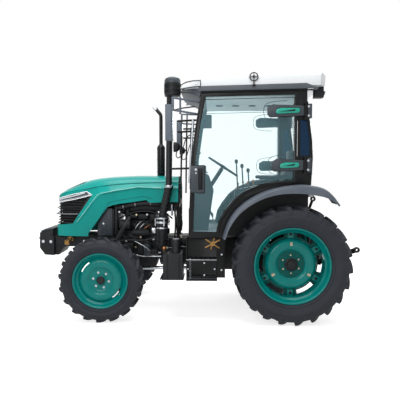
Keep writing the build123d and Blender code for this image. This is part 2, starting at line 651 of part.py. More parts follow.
def fenders():
    shell = fender_band(lambda lip: FENDER_T, -FENDER_OUT_Y, -WELL_Y)
    lip = fender_band(lambda lip: lip, -FENDER_OUT_Y, -FENDER_OUT_Y + FENDER_LIP_T)
    wall = side_prism(fender_curve() + [(rx(526), SILL_Z), (rx(-793), SILL_Z)], -WELL_Y - 10, -WELL_Y)
    wall -= block(rx(235), rx(600), -WELL_Y - 20, -WELL_Y + 10, 900, 2000)
    return pair(shell + lip + wall)


def side_edge():
    """The side frame's edge: up the front pillar, along the roof and down the rear corner."""
    rear = [(rx(CAB_REAR[0][0]), roof_z(CAB_REAR[0][0]))] + [(rx(x), z) for x, z in CAB_REAR]
    return [(rx(x), z) for x, z in PILLAR] + rear + [(rx(CAB_REAR[-1][0]), SILL_Z)]


DOOR_ARC = ((-829, 1069), (-806, 1173), (-737, 1289), (-637, 1416), (-520, 1508), (-360, 1577), (-160, 1612))
DOOR_REAR_X, DOOR_LOW_Z, DOOR_TOP_DROP = 62.0, 1024.0, 32.0


def door_outline(inset):
    """The door's edge, moved inwards by inset."""
    front = [(rx(x + 22 + inset), max(z, DOOR_LOW_Z + inset)) for x, z in PILLAR[1:-1]]
    top_x = PILLAR[-1][0] + 20 + inset
    top_front = (rx(top_x), roof_z(top_x) - DOOR_TOP_DROP - inset)
    rear_x = DOOR_REAR_X - inset
    top_rear = (rx(rear_x), roof_z(rear_x) - DOOR_TOP_DROP - inset)
    bottom_rear = (rx(rear_x), 1620 + inset)
    arc = [(rx(x - 0.85 * inset), z + 0.55 * inset) for x, z in DOOR_ARC[::-1]]
    low = [(rx(-829 - inset), DOOR_LOW_Z + inset), (rx(-1184 + 22 + inset), DOOR_LOW_Z + inset)]
    return front + [top_front, top_rear, bottom_rear] + arc + low


def cab_frame():
    """Side frames with their door and quarter openings, joined by front and rear headers."""
    y0, y1 = -CAB_HALF_W, -CAB_HALF_W + CAB_FRAME_T
    side = side_prism(side_edge(), y0, y1) - under_fender(y0 - 1, y1 + 1) - block(rx(-793), rx(600), y0 - 1, y1 + 1, 800, 1001)
    side -= side_prism(door_outline(DOOR_LAP), y0 - 1, y1 + 1)
    side -= side_prism([(rx(98), 1935), (rx(205), 1935), (rx(205), 2110), (rx(168), 2345), (rx(98), 2345)],
                       y0 - 1, y1 + 1)
    for z0, z1 in HINGES:
        for z in (z1 + MOVING_GAP, z0 - MOVING_GAP - 22):
            side += block(rx(HINGE_X - 22), rx(HINGE_X + 22), -HINGE_Y - 16, y0, z, z + 22)
        side += rod((rx(HINGE_X), -HINGE_Y, z0 - 20), (rx(HINGE_X), -HINGE_Y, z1 + 20), HINGE_PIN_R)
    across = side_prism(side_edge(), y1, -y1)
    front = block(rx(-1060), rx(-1000), y1, -y1, 2606, 2700) & across
    rear = block(rx(132), rx(200), y1, -y1, 2630, 2800) & across
    pin_x, pin_z = rx(WINDOW_PIN[0]), WINDOW_PIN[1]
    barrel = rod((pin_x, 430, pin_z), (pin_x, 500, pin_z), 9) + rod((pin_x, 500, pin_z), (pin_x, 585, pin_z), 5)
    tab = block(rx(155), pin_x, 430, 500, pin_z - 6, pin_z + 6) + block(rx(155), rx(170), 430, 500, pin_z, 2650)
    hinge = barrel + tab
    return side + mirrored(side) + front + rear + hinge + mirrored(hinge)


HINGES = ((2367.0, 2511.0), (1753.0, 1899.0))     # low and high z of each door hinge arm
ARM_STARTS = (-286.0, -236.0)
WINDOW_PIN = (192.0, 2622.0)
WINDOW_LINE = ((183, 2600), (240, 2113), (251, 1908), (245, 1715))    # inner face of the rear pane, (x, z)


def doors():
    y0, y1 = -DOOR_Y - DOOR_T, -DOOR_Y
    ring = side_prism(door_outline(0), y0, y1) - side_prism(door_outline(DOOR_RING), y0 - 1, y1 + 1)
    ring += block(rx(-1150), rx(-993), y0, y1, 1503, 1828)
    arms = []
    for (z0, z1), start in zip(HINGES, ARM_STARTS):
        mid = (z0 + z1) / 2
        arm = side_prism([(rx(start), mid - 40), (rx(start + 30), z0), (rx(HINGE_X), z0 + 14), (rx(HINGE_X), z1 - 14),
                          (rx(start + 60), z1), (rx(start), mid + 40)], -HINGE_Y - 14, y0)
        barrel = rod((rx(HINGE_X), -HINGE_Y, z0), (rx(HINGE_X), -HINGE_Y, z1), HINGE_BARREL_R)
        bore = rod((rx(HINGE_X), -HINGE_Y, z0 - 5), (rx(HINGE_X), -HINGE_Y, z1 + 5), HINGE_PIN_R + PIN_GAP)
        arms.append(arm + barrel - bore)
    frame = ring + arms[0] + arms[1]
    mid_y = (y0 + y1) / 2
    glass = side_prism(door_outline(DOOR_RING), mid_y - DOOR_GLASS_T / 2, mid_y + DOOR_GLASS_T / 2)
    glass -= block(rx(-1151), rx(-993), y0, y1, 1503, 1828)
    for name, shape in (("frame", frame), ("glass", glass)):
        save(f"door_left_{name}", shape)
        save(f"door_right_{name}", mirrored(shape))


def cab_panels():
    """Firewall under the windscreen and the rear wall under the rear window."""
    inside = CAB_HALF_W - CAB_FRAME_T
    wall = block(rx(-1184), rx(-1164), -inside, inside, FLOOR_Z, 1320)
    low = block(rx(205), rx(228), -WELL_Y, WELL_Y, PLATFORM_Z - FLOOR_T, FENDER_TOP_Z)
    high = block(rx(205), rx(228), -inside, inside, FENDER_TOP_Z, 1700)
    return group(wall, low + high)


def cab_floor():
    inside = CAB_HALF_W - CAB_FRAME_T
    low, high = SILL_Z, FLOOR_Z
    floor = side_prism([
        (rx(-1184), low), (rx(-325), low), (rx(-325), PLATFORM_Z - FLOOR_T), (rx(205), PLATFORM_Z - FLOOR_T),
        (rx(205), PLATFORM_Z), (rx(-350), PLATFORM_Z), (rx(-350), high), (rx(-1184), high),
    ], -WELL_Y, WELL_Y)
    wing = block(rx(-1184), rx(-800), WELL_Y - 1, inside, low, high)
    return floor + wing + mirrored(wing)


def cab_glass():
    """Windscreen and the two fixed quarter panes."""
    inside = CAB_HALF_W - CAB_FRAME_T
    front = [(rx(x + 14), z) for x, z in ((-1174, 1320), *PILLAR[2:4], (-1049, 2604))]
    back = [(x + WINDSCREEN_T, z) for x, z in front[::-1]]
    screen = side_prism(front + back, -inside, inside)
    pane = side_prism([(rx(98), 1935), (rx(205), 1935), (rx(205), 2110), (rx(168), 2345), (rx(98), 2345)],
                      -CAB_HALF_W + 10, -CAB_HALF_W + 16)
    return group(screen, pane, mirrored(pane))


def rear_window():
    line = [(rx(x), z) for x, z in WINDOW_LINE]
    pane = side_prism(line + [(x + WINDSCREEN_T, z) for x, z in line[::-1]], -660, 660)
    pin_x, pin_z = rx(WINDOW_PIN[0]), WINDOW_PIN[1]
    tab = block(rx(WINDOW_LINE[0][0]) + 2, rx(WINDOW_LINE[0][0]) + 12, 506, 590, WINDOW_LINE[0][1] - 5, pin_z)
    hinge = rod((pin_x, 506, pin_z), (pin_x, 590, pin_z), 9) + tab - rod((pin_x, 500, pin_z), (pin_x, 600, pin_z), 5 + PIN_GAP)
    return pane + hinge + mirrored(hinge)


def roof_plan():
    return plan_prism([(rx(-1283), -420), (rx(-1200), -620), (rx(-1060), -735), (rx(320), -735), (rx(402), -600),
                       (rx(402), 600), (rx(320), 735), (rx(-1060), 735), (rx(-1200), 620), (rx(-1283), 420)], 2500, 3000)


def rim_top():
    return [(rx(x), roof_z(x) + ROOF_RIM_T) for x in (-1075, CAB_REAR[0][0] + 8)]


def roof_cap():
    """The pale cap, crowned across and along, with an overhang behind the rear window."""
    side = side_prism([(rx(-1283), 2716), (rx(-1242), 2778), (rx(-1051), 2812), (rx(67), 2888), (rx(331), 2898),
                       (rx(402), 2854), (rx(387), 2735), *rim_top()[::-1]], -ROOF_HALF_W, ROOF_HALF_W)
    edge = [(ROOF_HALF_W, 2600), (ROOF_HALF_W, 2815), (ROOF_HALF_W - 12, 2860), (ROOF_HALF_W - 50, 2890)]
    section = front_prism([(-y, z) for y, z in edge] + [(0, 2912)] + edge[::-1], rx(-1400), rx(500))
    return side & section & roof_plan()


def roof_rim():
    """The grey rim that seats the cap on the cab's frame, with the visor's underside in front."""
    front_x, rear_x = PILLAR[-1][0], CAB_REAR[0][0] + 8
    rim = side_prism([(rx(-1283), 2690), (rx(-1283), 2716), *rim_top(), (rx(rear_x), roof_z(rear_x)),
                      (rx(front_x), FRAME_TOP_Z), (rx(front_x - 14), FRAME_TOP_Z - 52),
                      (rx(front_x - 30), FRAME_TOP_Z - 52)], -ROOF_HALF_W, ROOF_HALF_W)
    return rim & roof_plan()


SEAT_TOP_Z = 1395.0
SEAT_BACK_Z = 1870.0


def seat_back_x(z):
    """Front face of the seat's back frame."""
    return rx(72 + (z - SEAT_TOP_Z) * 0.13)


def seat():
    base = block(rx(-420), rx(-120), -150, 150, PLATFORM_Z, SEAT_TOP_Z)
    pan = SEAT_TOP_Z - 25
    frame = side_prism([(rx(-440), pan), (seat_back_x(pan), pan), (seat_back_x(SEAT_TOP_Z) + 18, SEAT_TOP_Z),
                        (seat_back_x(SEAT_BACK_Z) + 15, SEAT_BACK_Z), (seat_back_x(SEAT_BACK_Z), SEAT_BACK_Z),
                        (seat_back_x(SEAT_TOP_Z), SEAT_TOP_Z), (rx(-440), SEAT_TOP_Z)], -190, 190)
    cushion = block(rx(-480), rx(-30), -240, 240, SEAT_TOP_Z + SEAT_GAP, 1510)
    back = side_prism([(rx(-24), 1440), (seat_back_x(1440) - SEAT_GAP, 1440), (seat_back_x(1910) - SEAT_GAP, 1910),
                       (rx(105), 1930), (rx(50), 1900)], -230, 230)
    save("seat_base", base + frame)
    save("seat_pads", group(cushion, back))


WHEEL_CENTRE = (-768.0, 1811.0)          # steering wheel, from the rear axle
WHEEL_TILT = 33.0
WHEEL_R = 215.0


def column_point(d):
    """A point d up the steering column from the steering wheel's centre."""
    return (rx(WHEEL_CENTRE[0]) + d * sin(radians(WHEEL_TILT)), 0, WHEEL_CENTRE[1] + d * cos(radians(WHEEL_TILT)))


def controls():
    """Dash and steering column, side console with its levers, and the display by the pillar."""
    dash = side_prism([(rx(-1150), FLOOR_Z), (rx(-960), FLOOR_Z), (rx(-934), 1200), (rx(-890), 1511), (rx(-950), 1700),
                       (rx(-1100), 1800), (rx(-1130), 1600)], -180, 180)
    column = rod(column_point(-360), column_point(-26), 26)
    stub = rod(column_point(-30), column_point(4), 11)
    console = side_prism([(rx(-600), FLOOR_Z), (rx(-350), FLOOR_Z), (rx(-350), PLATFORM_Z), (rx(-100), PLATFORM_Z),
                          (rx(-100), 1480), (rx(-300), 1560), (rx(-600), 1500)], 330, WELL_Y - 15)
    levers = [rod((rx(x), y, 1490), (rx(x - 20), y, z), 9) + Pos(rx(x - 20), y, z) * Cylinder(20, 44)
              for x, y, z in ((-560, 370, 1880), (-480, 420, 1820), (-400, 370, 1760))]
    return group(dash + column + stub, console.fuse(*levers))


def steering_wheel():
    tilt = Location(Plane(column_point(0), x_dir=(0, 1, 0), z_dir=(sin(radians(WHEEL_TILT)), 0, cos(radians(WHEEL_TILT)))))
    ring = revolve(Plane.XZ * Pos(WHEEL_R, 0) * RegularPolygon(14, 6), Axis.Z)
    hub = Cylinder(42, 36) - Cylinder(11 + PIN_GAP, 80)
    cap = Pos(0, 0, 14) * Cylinder(42, 10)
    spokes = [Rot(0, 0, 90 + 120 * k) * Pos(WHEEL_R / 2 + 15, 0, 0) * Box(WHEEL_R - 30, 26, 9) for k in range(3)]
    return tilt * (ring + hub.fuse(cap, *spokes) - Pos(0, 0, -10) * Cylinder(11 + PIN_GAP, 38))


MIRROR_REACH = 158.0     # from the cab's side out to the mirror's arm


def mirrors():
    """Each mirror stands off its pillar on two arms joined by an upright."""
    out = CAB_HALF_W + MIRROR_REACH
    housing = block(rx(-1425), rx(-1345), -out - 150, -out + 30, 2095, 2486)
    housing = fillet(housing.edges().filter_by(Axis.Z), 22)
    upper = rod((rx(-1040), -CAB_HALF_W + 25, 2547), (rx(-1345), -out, 2575), 11)
    lower = rod((rx(-1065), -CAB_HALF_W + 25, 2411), (rx(-1345), -out, 2440), 11)
    upright = rod((rx(-1270), -out + 48, 2400), (rx(-1270), -out + 48, 2590), 11)
    plate = rod((rx(-1350), -out, 2430), (rx(-1350), -out, 2585), 14)
    mirror_left = (housing + upper + lower + upright + plate) - cab_skin()
    return pair(mirror_left)


def cab_skin():
    """The left side frame's volume without its openings, used to trim what meets it."""
    return side_prism(side_edge(), -CAB_HALF_W, 0)


def work_lamps():
    """Boxed lamps under the roof's rear edge."""
    x0, x1 = 278, 385
    under = [(rx(x), 2735 - (387 - x) * 0.165) for x in (x0, x1)]
    return pair(side_prism([(rx(x0), 2610), *under, (rx(x1), 2610)], -600, -480) - roof_cap())


# ---------------------------------------------------------------- rear linkage
def flat_bar(p, q, height, thick):
    """A bar of rectangular section from p to q, upright in its height."""
    a, b = Vector(*p), Vector(*q)
    plane = Plane(a, x_dir=(b - a).cross(Vector(0, 0, 1)).normalized(), z_dir=b - a)
    return extrude(plane * Rectangle(thick, height), (b - a).length)


def y_disc(x, y0, y1, z, r):
    return rod((x, y0, z), (x, y1, z), r)


def linkage():
    px, pz = rx(LINK_PIVOT[0]), LINK_PIVOT[1]
    bx, bz = rx(LINK_BALL[0]), LINK_BALL[1]
    # lower link, right side
    bar = flat_bar((px, LINK_PIVOT_Y, pz), (bx, LINK_BALL_Y, bz), LINK_HEIGHT, LINK_T)
    near = y_disc(px, LINK_PIVOT_Y - 18, LINK_PIVOT_Y + 18, pz, 34)
    ball = y_disc(bx, LINK_BALL_Y - LINK_EYE_T / 2, LINK_BALL_Y + LINK_EYE_T / 2, bz, LINK_EYE_R)
    bores = (y_disc(px, LINK_PIVOT_Y - 40, LINK_PIVOT_Y + 40, pz, 14 + PIN_GAP)
             + y_disc(bx, LINK_BALL_Y - 60, LINK_BALL_Y + 60, bz, LINK_BORE_R))
    link = bar + near + ball - bores
    save("lower_link_right", link)
    save("lower_link_left", mirrored(link))

    # both lift arms on one rocker shaft
    sx, sz = rx(LIFT_SHAFT[0]), LIFT_SHAFT[1]
    ax = sx + LIFT_ARM_L * cos(radians(LIFT_ARM_ANGLE))
    az = sz + LIFT_ARM_L * sin(radians(LIFT_ARM_ANGLE))
    shaft = y_disc(sx, -LIFT_ARM_Y - 15, LIFT_ARM_Y + 15, sz, LIFT_SHAFT_R)
    arm = (flat_bar((sx, LIFT_ARM_Y, sz), (ax, LIFT_ARM_Y, az), 56, 30)
           + y_disc(sx, LIFT_ARM_Y - 15, LIFT_ARM_Y + 15, sz, 52) + y_disc(ax, LIFT_ARM_Y - 15, LIFT_ARM_Y + 15, az, 30)
           + y_disc(ax, LIFT_ARM_Y, LIFT_ARM_Y + 50, az, 12))
    save("lift_arms", shaft + arm + mirrored(arm))

    # lift rod from the arm's pin down past the lower link's side
    rod_y = LIFT_ARM_Y + 15 + 5 + 12
    qx = px + ROD_SHARE * (bx - px)
    qz = pz + ROD_SHARE * (bz - pz)
    link_y = LINK_PIVOT_Y + ROD_SHARE * (LINK_BALL_Y - LINK_PIVOT_Y)
    low_y = link_y - LINK_T / 2 - MOVING_GAP - 20
    top_eye = y_disc(ax, rod_y - 12, rod_y + 12, az, 28)
    top_bore = y_disc(ax, rod_y - 20, rod_y + 20, az, 12 + PIN_GAP)
    low_eye = y_disc(qx, low_y - 8, low_y + 8, qz, 28) - y_disc(qx, low_y - 20, low_y + 20, qz, 14)
    shank = rod((ax, rod_y, az), (qx, low_y, qz), 14)
    keep_out = y_disc(qx, low_y - 20, low_y + 20, qz, 14)
    lift_rod = shank + top_eye + low_eye - top_bore - keep_out
    save("lift_rod_right", lift_rod)
    save("lift_rod_left", mirrored(lift_rod))

    # top link, folded up
    tx, tz = rx(TOP_LINK_PIVOT[0]), TOP_LINK_PIVOT[1]
    ex = tx + TOP_LINK_L * cos(radians(TOP_LINK_ANGLE))
    ez = tz + TOP_LINK_L * sin(radians(TOP_LINK_ANGLE))
    body = rod((tx, 0, tz), (ex, 0, ez), TOP_LINK_R)
    ends = y_disc(tx, -22, 22, tz, 30) + y_disc(ex, -25, 25, ez, 32)
    bores = y_disc(tx, -40, 40, tz, 12 + PIN_GAP) + y_disc(ex, -40, 40, ez, 12.9)
    save("top_link", body + ends - bores)


def main():
    os.makedirs("parts", exist_ok=True)
    wheels()
    front_axle()
    save("front_frame", front_frame())
    save("front_weight", front_weight())
    save("engine_block", engine())
    save("engine_fittings", engine_fittings())
    save("radiator", radiator())
    save("intake_stack", intake())
    save("exhaust", exhaust())
    save("gearbox_housing", gearbox())
    save("rear_axle", rear_axle())
    save("drive_shaft", drive_shaft())
    save("drawbar", drawbar())
    save("pto_shaft", pto_shaft())
    hood()
    save("hood_bracket", hood_bracket())
    tank, battery = side_boxes()
    save("fuel_tank", tank)
    save("battery_box", battery)
    save("cab_steps", steps())
    save("cab_frame", cab_frame())
    save("cab_panels", cab_panels())
    save("cab_floor", cab_floor())
    save("cab_glass", cab_glass())
    save("rear_window", rear_window())
    doors()
    save("cab_roof", roof_cap())
    save("roof_rim", roof_rim())
    save("fenders", fenders())
    seat()
    save("cab_controls", controls())
    save("steering_wheel", steering_wheel())
    save("mirrors", mirrors())
    save("work_lamps", work_lamps())
    linkage()


if __name__ == "__main__":
    main()
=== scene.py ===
import json
import math

import bpy
import numpy as np
from mathutils import Matrix, Vector


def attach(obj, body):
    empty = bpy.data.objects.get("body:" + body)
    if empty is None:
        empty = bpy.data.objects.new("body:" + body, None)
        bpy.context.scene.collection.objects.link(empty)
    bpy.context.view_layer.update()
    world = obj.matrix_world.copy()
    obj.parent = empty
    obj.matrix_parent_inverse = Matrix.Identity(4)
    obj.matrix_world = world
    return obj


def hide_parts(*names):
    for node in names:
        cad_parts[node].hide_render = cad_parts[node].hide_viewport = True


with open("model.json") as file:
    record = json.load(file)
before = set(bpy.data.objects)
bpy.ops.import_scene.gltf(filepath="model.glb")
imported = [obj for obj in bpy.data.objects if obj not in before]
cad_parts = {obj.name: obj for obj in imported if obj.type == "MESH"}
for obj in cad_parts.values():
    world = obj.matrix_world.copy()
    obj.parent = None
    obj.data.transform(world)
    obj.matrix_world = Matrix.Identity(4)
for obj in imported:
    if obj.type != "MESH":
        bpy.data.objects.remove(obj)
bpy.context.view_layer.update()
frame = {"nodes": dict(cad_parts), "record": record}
MM = 0.001

# ------------------------------------------------------------------ places shared with the CAD, in metres
FRONT_X, REAR_X = -1.1, 1.1
FRONT_HUB, REAR_HUB = 0.495, 0.685
FRONT_Y, REAR_Y = 0.735, 0.745
SIDES = ((-1, "left"), (1, "right"))


def at(x0, points, s):
    """Metres from (x, z) or (x, y, z) in millimetres behind x0; s puts y on the left or the right."""
    return [(x0 + x * MM, *[s * y * MM for y in rest[:-1]], rest[-1] * MM) for x, *rest in points]


def front(*points, s=1):
    """Points placed from the front axle."""
    return at(FRONT_X, points, s)


def rear(*points, s=1):
    """Points placed from the rear axle."""
    return at(REAR_X, points, s)


def mid(*points, s=1):
    """Points placed from the middle of the wheelbase."""
    return at(0.0, points, s)


# ------------------------------------------------------------------ modelling helpers
def clear():
    if bpy.context.object and bpy.context.object.mode != "OBJECT":
        bpy.ops.object.mode_set(mode="OBJECT")
    bpy.ops.object.select_all(action="DESELECT")


def pick(*objects):
    clear()
    for o in objects:
        o.select_set(True)
    bpy.context.view_layer.objects.active = objects[0]
    return objects[0]


def settle(o):
    """Puts the piece's place, turn and size into its mesh."""
    pick(o)
    bpy.ops.object.transform_apply(location=True, rotation=True, scale=True)
    return o


def named(name):
    o = bpy.context.object
    o.name = o.data.name = name
    return settle(o)


def cube(name, corners):
    """A box between two opposite corners, in any order."""
    clear()
    low, high = (Vector([choose(pair) for pair in zip(*corners)]) for choose in (min, max))
    bpy.ops.mesh.primitive_cube_add(size=1, location=(low + high) / 2)
    bpy.context.object.scale = high - low
    return named(name)


def rod(name, ends, radius, sides=24):
    """A round bar between two points, its radius in millimetres."""
    clear()
    start, end = Vector(ends[0]), Vector(ends[1])
    turn = (end - start).to_track_quat("Z", "Y").to_euler()
    bpy.ops.mesh.primitive_cone_add(vertices=sides, radius1=radius * MM, radius2=radius * MM,
                                    depth=(end - start).length, location=(start + end) / 2, rotation=turn)
    return named(name)


def ball(name, centre, radius, segments=20):
    clear()
    bpy.ops.mesh.primitive_uv_sphere_add(segments=segments, ring_count=segments // 2, radius=radius * MM,
                                         location=centre)
    return named(name)


def ring(name, centre, direction, radius, thickness, around=48, across=12):
    clear()
    turn = Vector(direction).to_track_quat("Z", "Y").to_euler()
    bpy.ops.mesh.primitive_torus_add(
        major_radius=radius * MM, minor_radius=thickness * MM, major_segments=around, minor_segments=across,
        location=centre, rotation=turn)
    return named(name)


def in_edit(o, *steps):
    """Runs edit-mode steps on the whole of a piece."""
    pick(o)
    bpy.ops.object.mode_set(mode="EDIT")
    bpy.ops.mesh.select_all(action="SELECT")
    for step in steps:
        step()
    bpy.ops.object.mode_set(mode="OBJECT")
    return o


def heal(o, distance=1e-5):
    """Merges doubles, then turns the faces outwards."""
    return in_edit(o, lambda: bpy.ops.mesh.remove_doubles(threshold=distance),
                   lambda: bpy.ops.mesh.normals_make_consistent(inside=False))


def mesh_of(name, points, edges=(), faces=()):
    """A starting mesh, for a form that is then extruded, spun or bridged."""
    clear()
    mesh = bpy.data.meshes.new(name)
    mesh.from_pydata([tuple(p) for p in points], edges, faces)
    o = bpy.data.objects.new(name, mesh)
    bpy.context.scene.collection.objects.link(o)
    return pick(o)


def flat(name, outline):
    """One face from its outline of points."""
    return mesh_of(name, outline, faces=[list(range(len(outline)))])


def extruded(o, *moves):
    """Carries a flat start through the moves, one after another."""
    steps = [lambda move=move: bpy.ops.mesh.extrude_region_move(TRANSFORM_OT_translate={"value": tuple(move)})
             for move in moves]
    return heal(in_edit(o, *steps))


def side_slab(name, outline, y0, y1):
    """An (x, z) outline carried from y0 to y1."""
    return extruded(flat(name, [(x, y0, z) for x, z in outline]), (0, y1 - y0, 0))


def lathe(name, profile, centre, steps=96, axis=(0, 1, 0), closed=True):
    """A profile of (radius, distance along the axis), spun about it."""
    axis = Vector(axis).normalized()
    across = axis.orthogonal().normalized()
    points = [Vector(centre) + across * r + axis * d for r, d in profile]
    count = len(points)
    o = mesh_of(name, points, [(k, (k + 1) % count) for k in range(count if closed else count - 1)])
    turn = {"angle": 2 * math.pi, "center": tuple(centre), "axis": tuple(axis)}
    in_edit(o, lambda: bpy.ops.mesh.spin(steps=steps, **turn))
    return heal(o)


def skinned(name, loops, closed=False):
    """A skin bridged through loops of points."""
    edges, base = [], 0
    for loop in loops:
        edges += [(base + k, base + k + 1) for k in range(len(loop) - 1)]
        if closed:
            edges.append((base + len(loop) - 1, base))
        base += len(loop)
    o = mesh_of(name, [p for loop in loops for p in loop], edges)
    in_edit(o, lambda: bpy.ops.mesh.select_mode(type="EDGE"),
            lambda: bpy.ops.mesh.select_all(action="SELECT"),
            lambda: bpy.ops.mesh.bridge_edge_loops())
    return heal(o)


def hose(name, points, radius, bend=True, sides=4):
    """A round hose or pipe through the points, its radius in millimetres."""
    clear()
    curve = bpy.data.curves.new(name, "CURVE")
    curve.dimensions = "3D"
    curve.bevel_depth = radius * MM
    curve.bevel_resolution = sides
    curve.use_fill_caps = True
    spline = curve.splines.new("NURBS" if bend else "POLY")
    spline.points.add(len(points) - 1)
    for spot, p in zip(spline.points, points):
        spot.co = (*p, 1)
    if bend:
        spline.order_u = 3
        spline.use_endpoint_u = True
    spline.resolution_u = 6
    o = bpy.data.objects.new(name, curve)
    bpy.context.scene.collection.objects.link(o)
    pick(o)
    bpy.ops.object.convert(target="MESH")
    return smooth(bpy.context.object, 50)


def apply_all(o):
    pick(o)
    for modifier in list(o.modifiers):
        bpy.ops.object.modifier_apply(modifier=modifier.name)
    return o


def smooth(o, angle=35):
    pick(o)
    bpy.ops.object.shade_smooth_by_angle(angle=math.radians(angle))
    return o


def bevelled(o, width, segments=2, angle=30):
    """Rounds the sharp edges by a width in millimetres and shades what is left smooth."""
    m = o.modifiers.new("round", "BEVEL")
    m.width, m.segments = width * MM, segments
    m.limit_method, m.angle_limit = "ANGLE", math.radians(angle)
    m.miter_outer = "MITER_ARC"
    return smooth(apply_all(o), 40)


def walled(o, thickness, offset):
    """Gives an open skin its thickness in millimetres."""
    wall = o.modifiers.new("wall", "SOLIDIFY")
    wall.thickness, wall.offset = thickness * MM, offset
    return apply_all(o)


def cut(o, cutter):
    m = o.modifiers.new("cut", "BOOLEAN")
    m.operation, m.object, m.solver = "DIFFERENCE", cutter, "EXACT"
    apply_all(o)
    bpy.data.objects.remove(cutter, do_unlink=True)
    return o


def joined(name, pieces):
    first = pick(*pieces)
    if len(pieces) > 1:
        bpy.ops.object.join()
    first.name = first.data.name = name
    return first


def copy_of(o, name=None):
    twin = o.copy()
    twin.data = o.data.copy()
    bpy.context.scene.collection.objects.link(twin)
    if name:
        twin.name = twin.data.name = name
    return twin


def turned(o, axis, degrees, centre):
    """Turns the mesh about an axis through a centre."""
    spot = Matrix.Translation(Vector(centre))
    o.data.transform(spot @ Matrix.Rotation(math.radians(degrees), 4, Vector(axis)) @ spot.inverted())
    return o


def round_copies(o, count, axis, centre, first=0.0):
    """The piece's copies round an axis, joined; the first is turned by first degrees."""
    name = o.name
    copies = [turned(copy_of(o), axis, first + 360 * k / count, centre) for k in range(count)]
    bpy.data.objects.remove(o, do_unlink=True)
    return joined(name, copies)


BODY_OF = {node: body for body, nodes in frame["record"]["behaviour"]["bodies"].items() for node in nodes}


def put(o, finish, body="chassis"):
    """Gives a finished piece its material and the body it moves with."""
    o.data.materials.clear()
    o.data.materials.append(FINISH[finish])
    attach(o, body)
    return o


def stand_in(o, node, finish):
    """A new piece that is shown in place of a CAD node."""
    put(o, finish, BODY_OF[node])
    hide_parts(node)
    return o


def dressed(node, finish, width, segments=2, angle=32):
    """A CAD node's form with its triangles merged and its sharp edges rounded, in millimetres."""
    o = copy_of(frame["nodes"][node], node + "_skin")
    for key in list(o.keys()):
        del o[key]
    o.parent = None
    in_edit(o, lambda: bpy.ops.mesh.remove_doubles(threshold=2e-5),
            lambda: bpy.ops.mesh.dissolve_limited(angle_limit=math.radians(0.6)))
    return stand_in(bevelled(o, width, segments, angle), node, finish)


# ------------------------------------------------------------------ simple pieces, sizes in millimetres
def block(name, corners, finish, edge, segments=2, body="chassis"):
    """A box with rounded edges."""
    return put(bevelled(cube(name, corners), edge, segments), finish, body)


def bar(name, ends, radius, finish, edge=2, sides=24, body="chassis"):
    """A round bar with eased ends."""
    return put(bevelled(rod(name, ends, radius, sides), edge), finish, body)


def plate(name, outline, y0, y1, finish, edge, segments=2, body="chassis"):
    """An (x, z) outline with rounded edges between two distances from the tractor's middle."""
    return put(bevelled(side_slab(name, outline, y0 * MM, y1 * MM), edge, segments), finish, body)


def line(name, points, radius, finish, body="chassis", bend=True, sides=4):
    """A hose, pipe or bead through points."""
    return put(hose(name, points, radius, bend, sides), finish, body)


def lathed(name, profile, centre, finish, steps=48, axis=(0, 0, 1), angle=40, body="chassis", closed=False):
    """A turned piece from (radius, distance along the axis) in metres."""
    return put(smooth(lathe(name, profile, centre, steps, axis, closed), angle), finish, body)


def hoop(name, centre, direction, radius, thickness, finish, around, across):
    """A round link, rib or clamp."""
    return put(smooth(ring(name, centre, direction, radius, thickness, around, across), 60), finish)


# ------------------------------------------------------------------ materials
def linear(shade):
    """The linear values of an sRGB colour written as #rrggbb."""
    parts = [int(shade[k:k + 2], 16) / 255 for k in (1, 3, 5)]
    return (*[c / 12.92 if c <= 0.04045 else ((c + 0.055) / 1.055) ** 2.4 for c in parts], 1.0)


def add(tree, kind, inputs=None, **fields):
    """Adds a shader node; an input takes another node's socket or a plain value."""
    node = tree.nodes.new("ShaderNode" + kind)
    for key, value in fields.items():
        setattr(node, key, value)
    for key, value in (inputs or {}).items():
        if isinstance(value, bpy.types.NodeSocket):
            tree.links.new(value, node.inputs[key])
        else:
            node.inputs[key].default_value = value
    return node


def blank(name):
    """A material with an empty tree, and its output node."""
    material = bpy.data.materials.new(name)
    material.use_nodes = True
    material.node_tree.nodes.clear()
    return material, material.node_tree, add(material.node_tree, "OutputMaterial")


def finish_of(name, shade, worn, patch, rough, grain, depth, metal, coat, shine):
    """A surface with patches of a second shade, uneven gloss and a fine grain; sizes are in millimetres."""
    material, tree, out = blank(name)
    place = add(tree, "TexCoord").outputs["Object"]
    patches = add(tree, "TexNoise", {"Vector": place, "Scale": 1000 / patch, "Detail": 6.0, "Roughness": 0.6})
    spread = add(tree, "MapRange", {"Value": patches.outputs["Fac"], "From Min": 0.38, "From Max": 0.68})
    colour = add(tree, "Mix", {"Factor": spread.outputs["Result"]}, data_type="RGBA")
    colour.inputs[6].default_value = linear(shade)
    colour.inputs[7].default_value = linear(worn)
    gloss = add(tree, "MapRange", {"Value": patches.outputs["Fac"], "From Min": 0.3, "From Max": 0.7,
                                   "To Min": rough - 0.05, "To Max": rough + 0.07})
    fine = add(tree, "TexNoise", {"Vector": place, "Scale": 1000 / grain, "Detail": 3.0})
    bump = add(tree, "Bump", {"Height": fine.outputs["Fac"], "Strength": 0.6, "Distance": depth * MM})
    shader = add(tree, "BsdfPrincipled", {
        "Base Color": colour.outputs[2], "Roughness": gloss.outputs["Result"], "Normal": bump.outputs["Normal"],
        "Metallic": metal, "Coat Weight": coat, "Coat Roughness": 0.08, "Specular IOR Level": shine})
    tree.links.new(shader.outputs["BSDF"], out.inputs["Surface"])
    return material


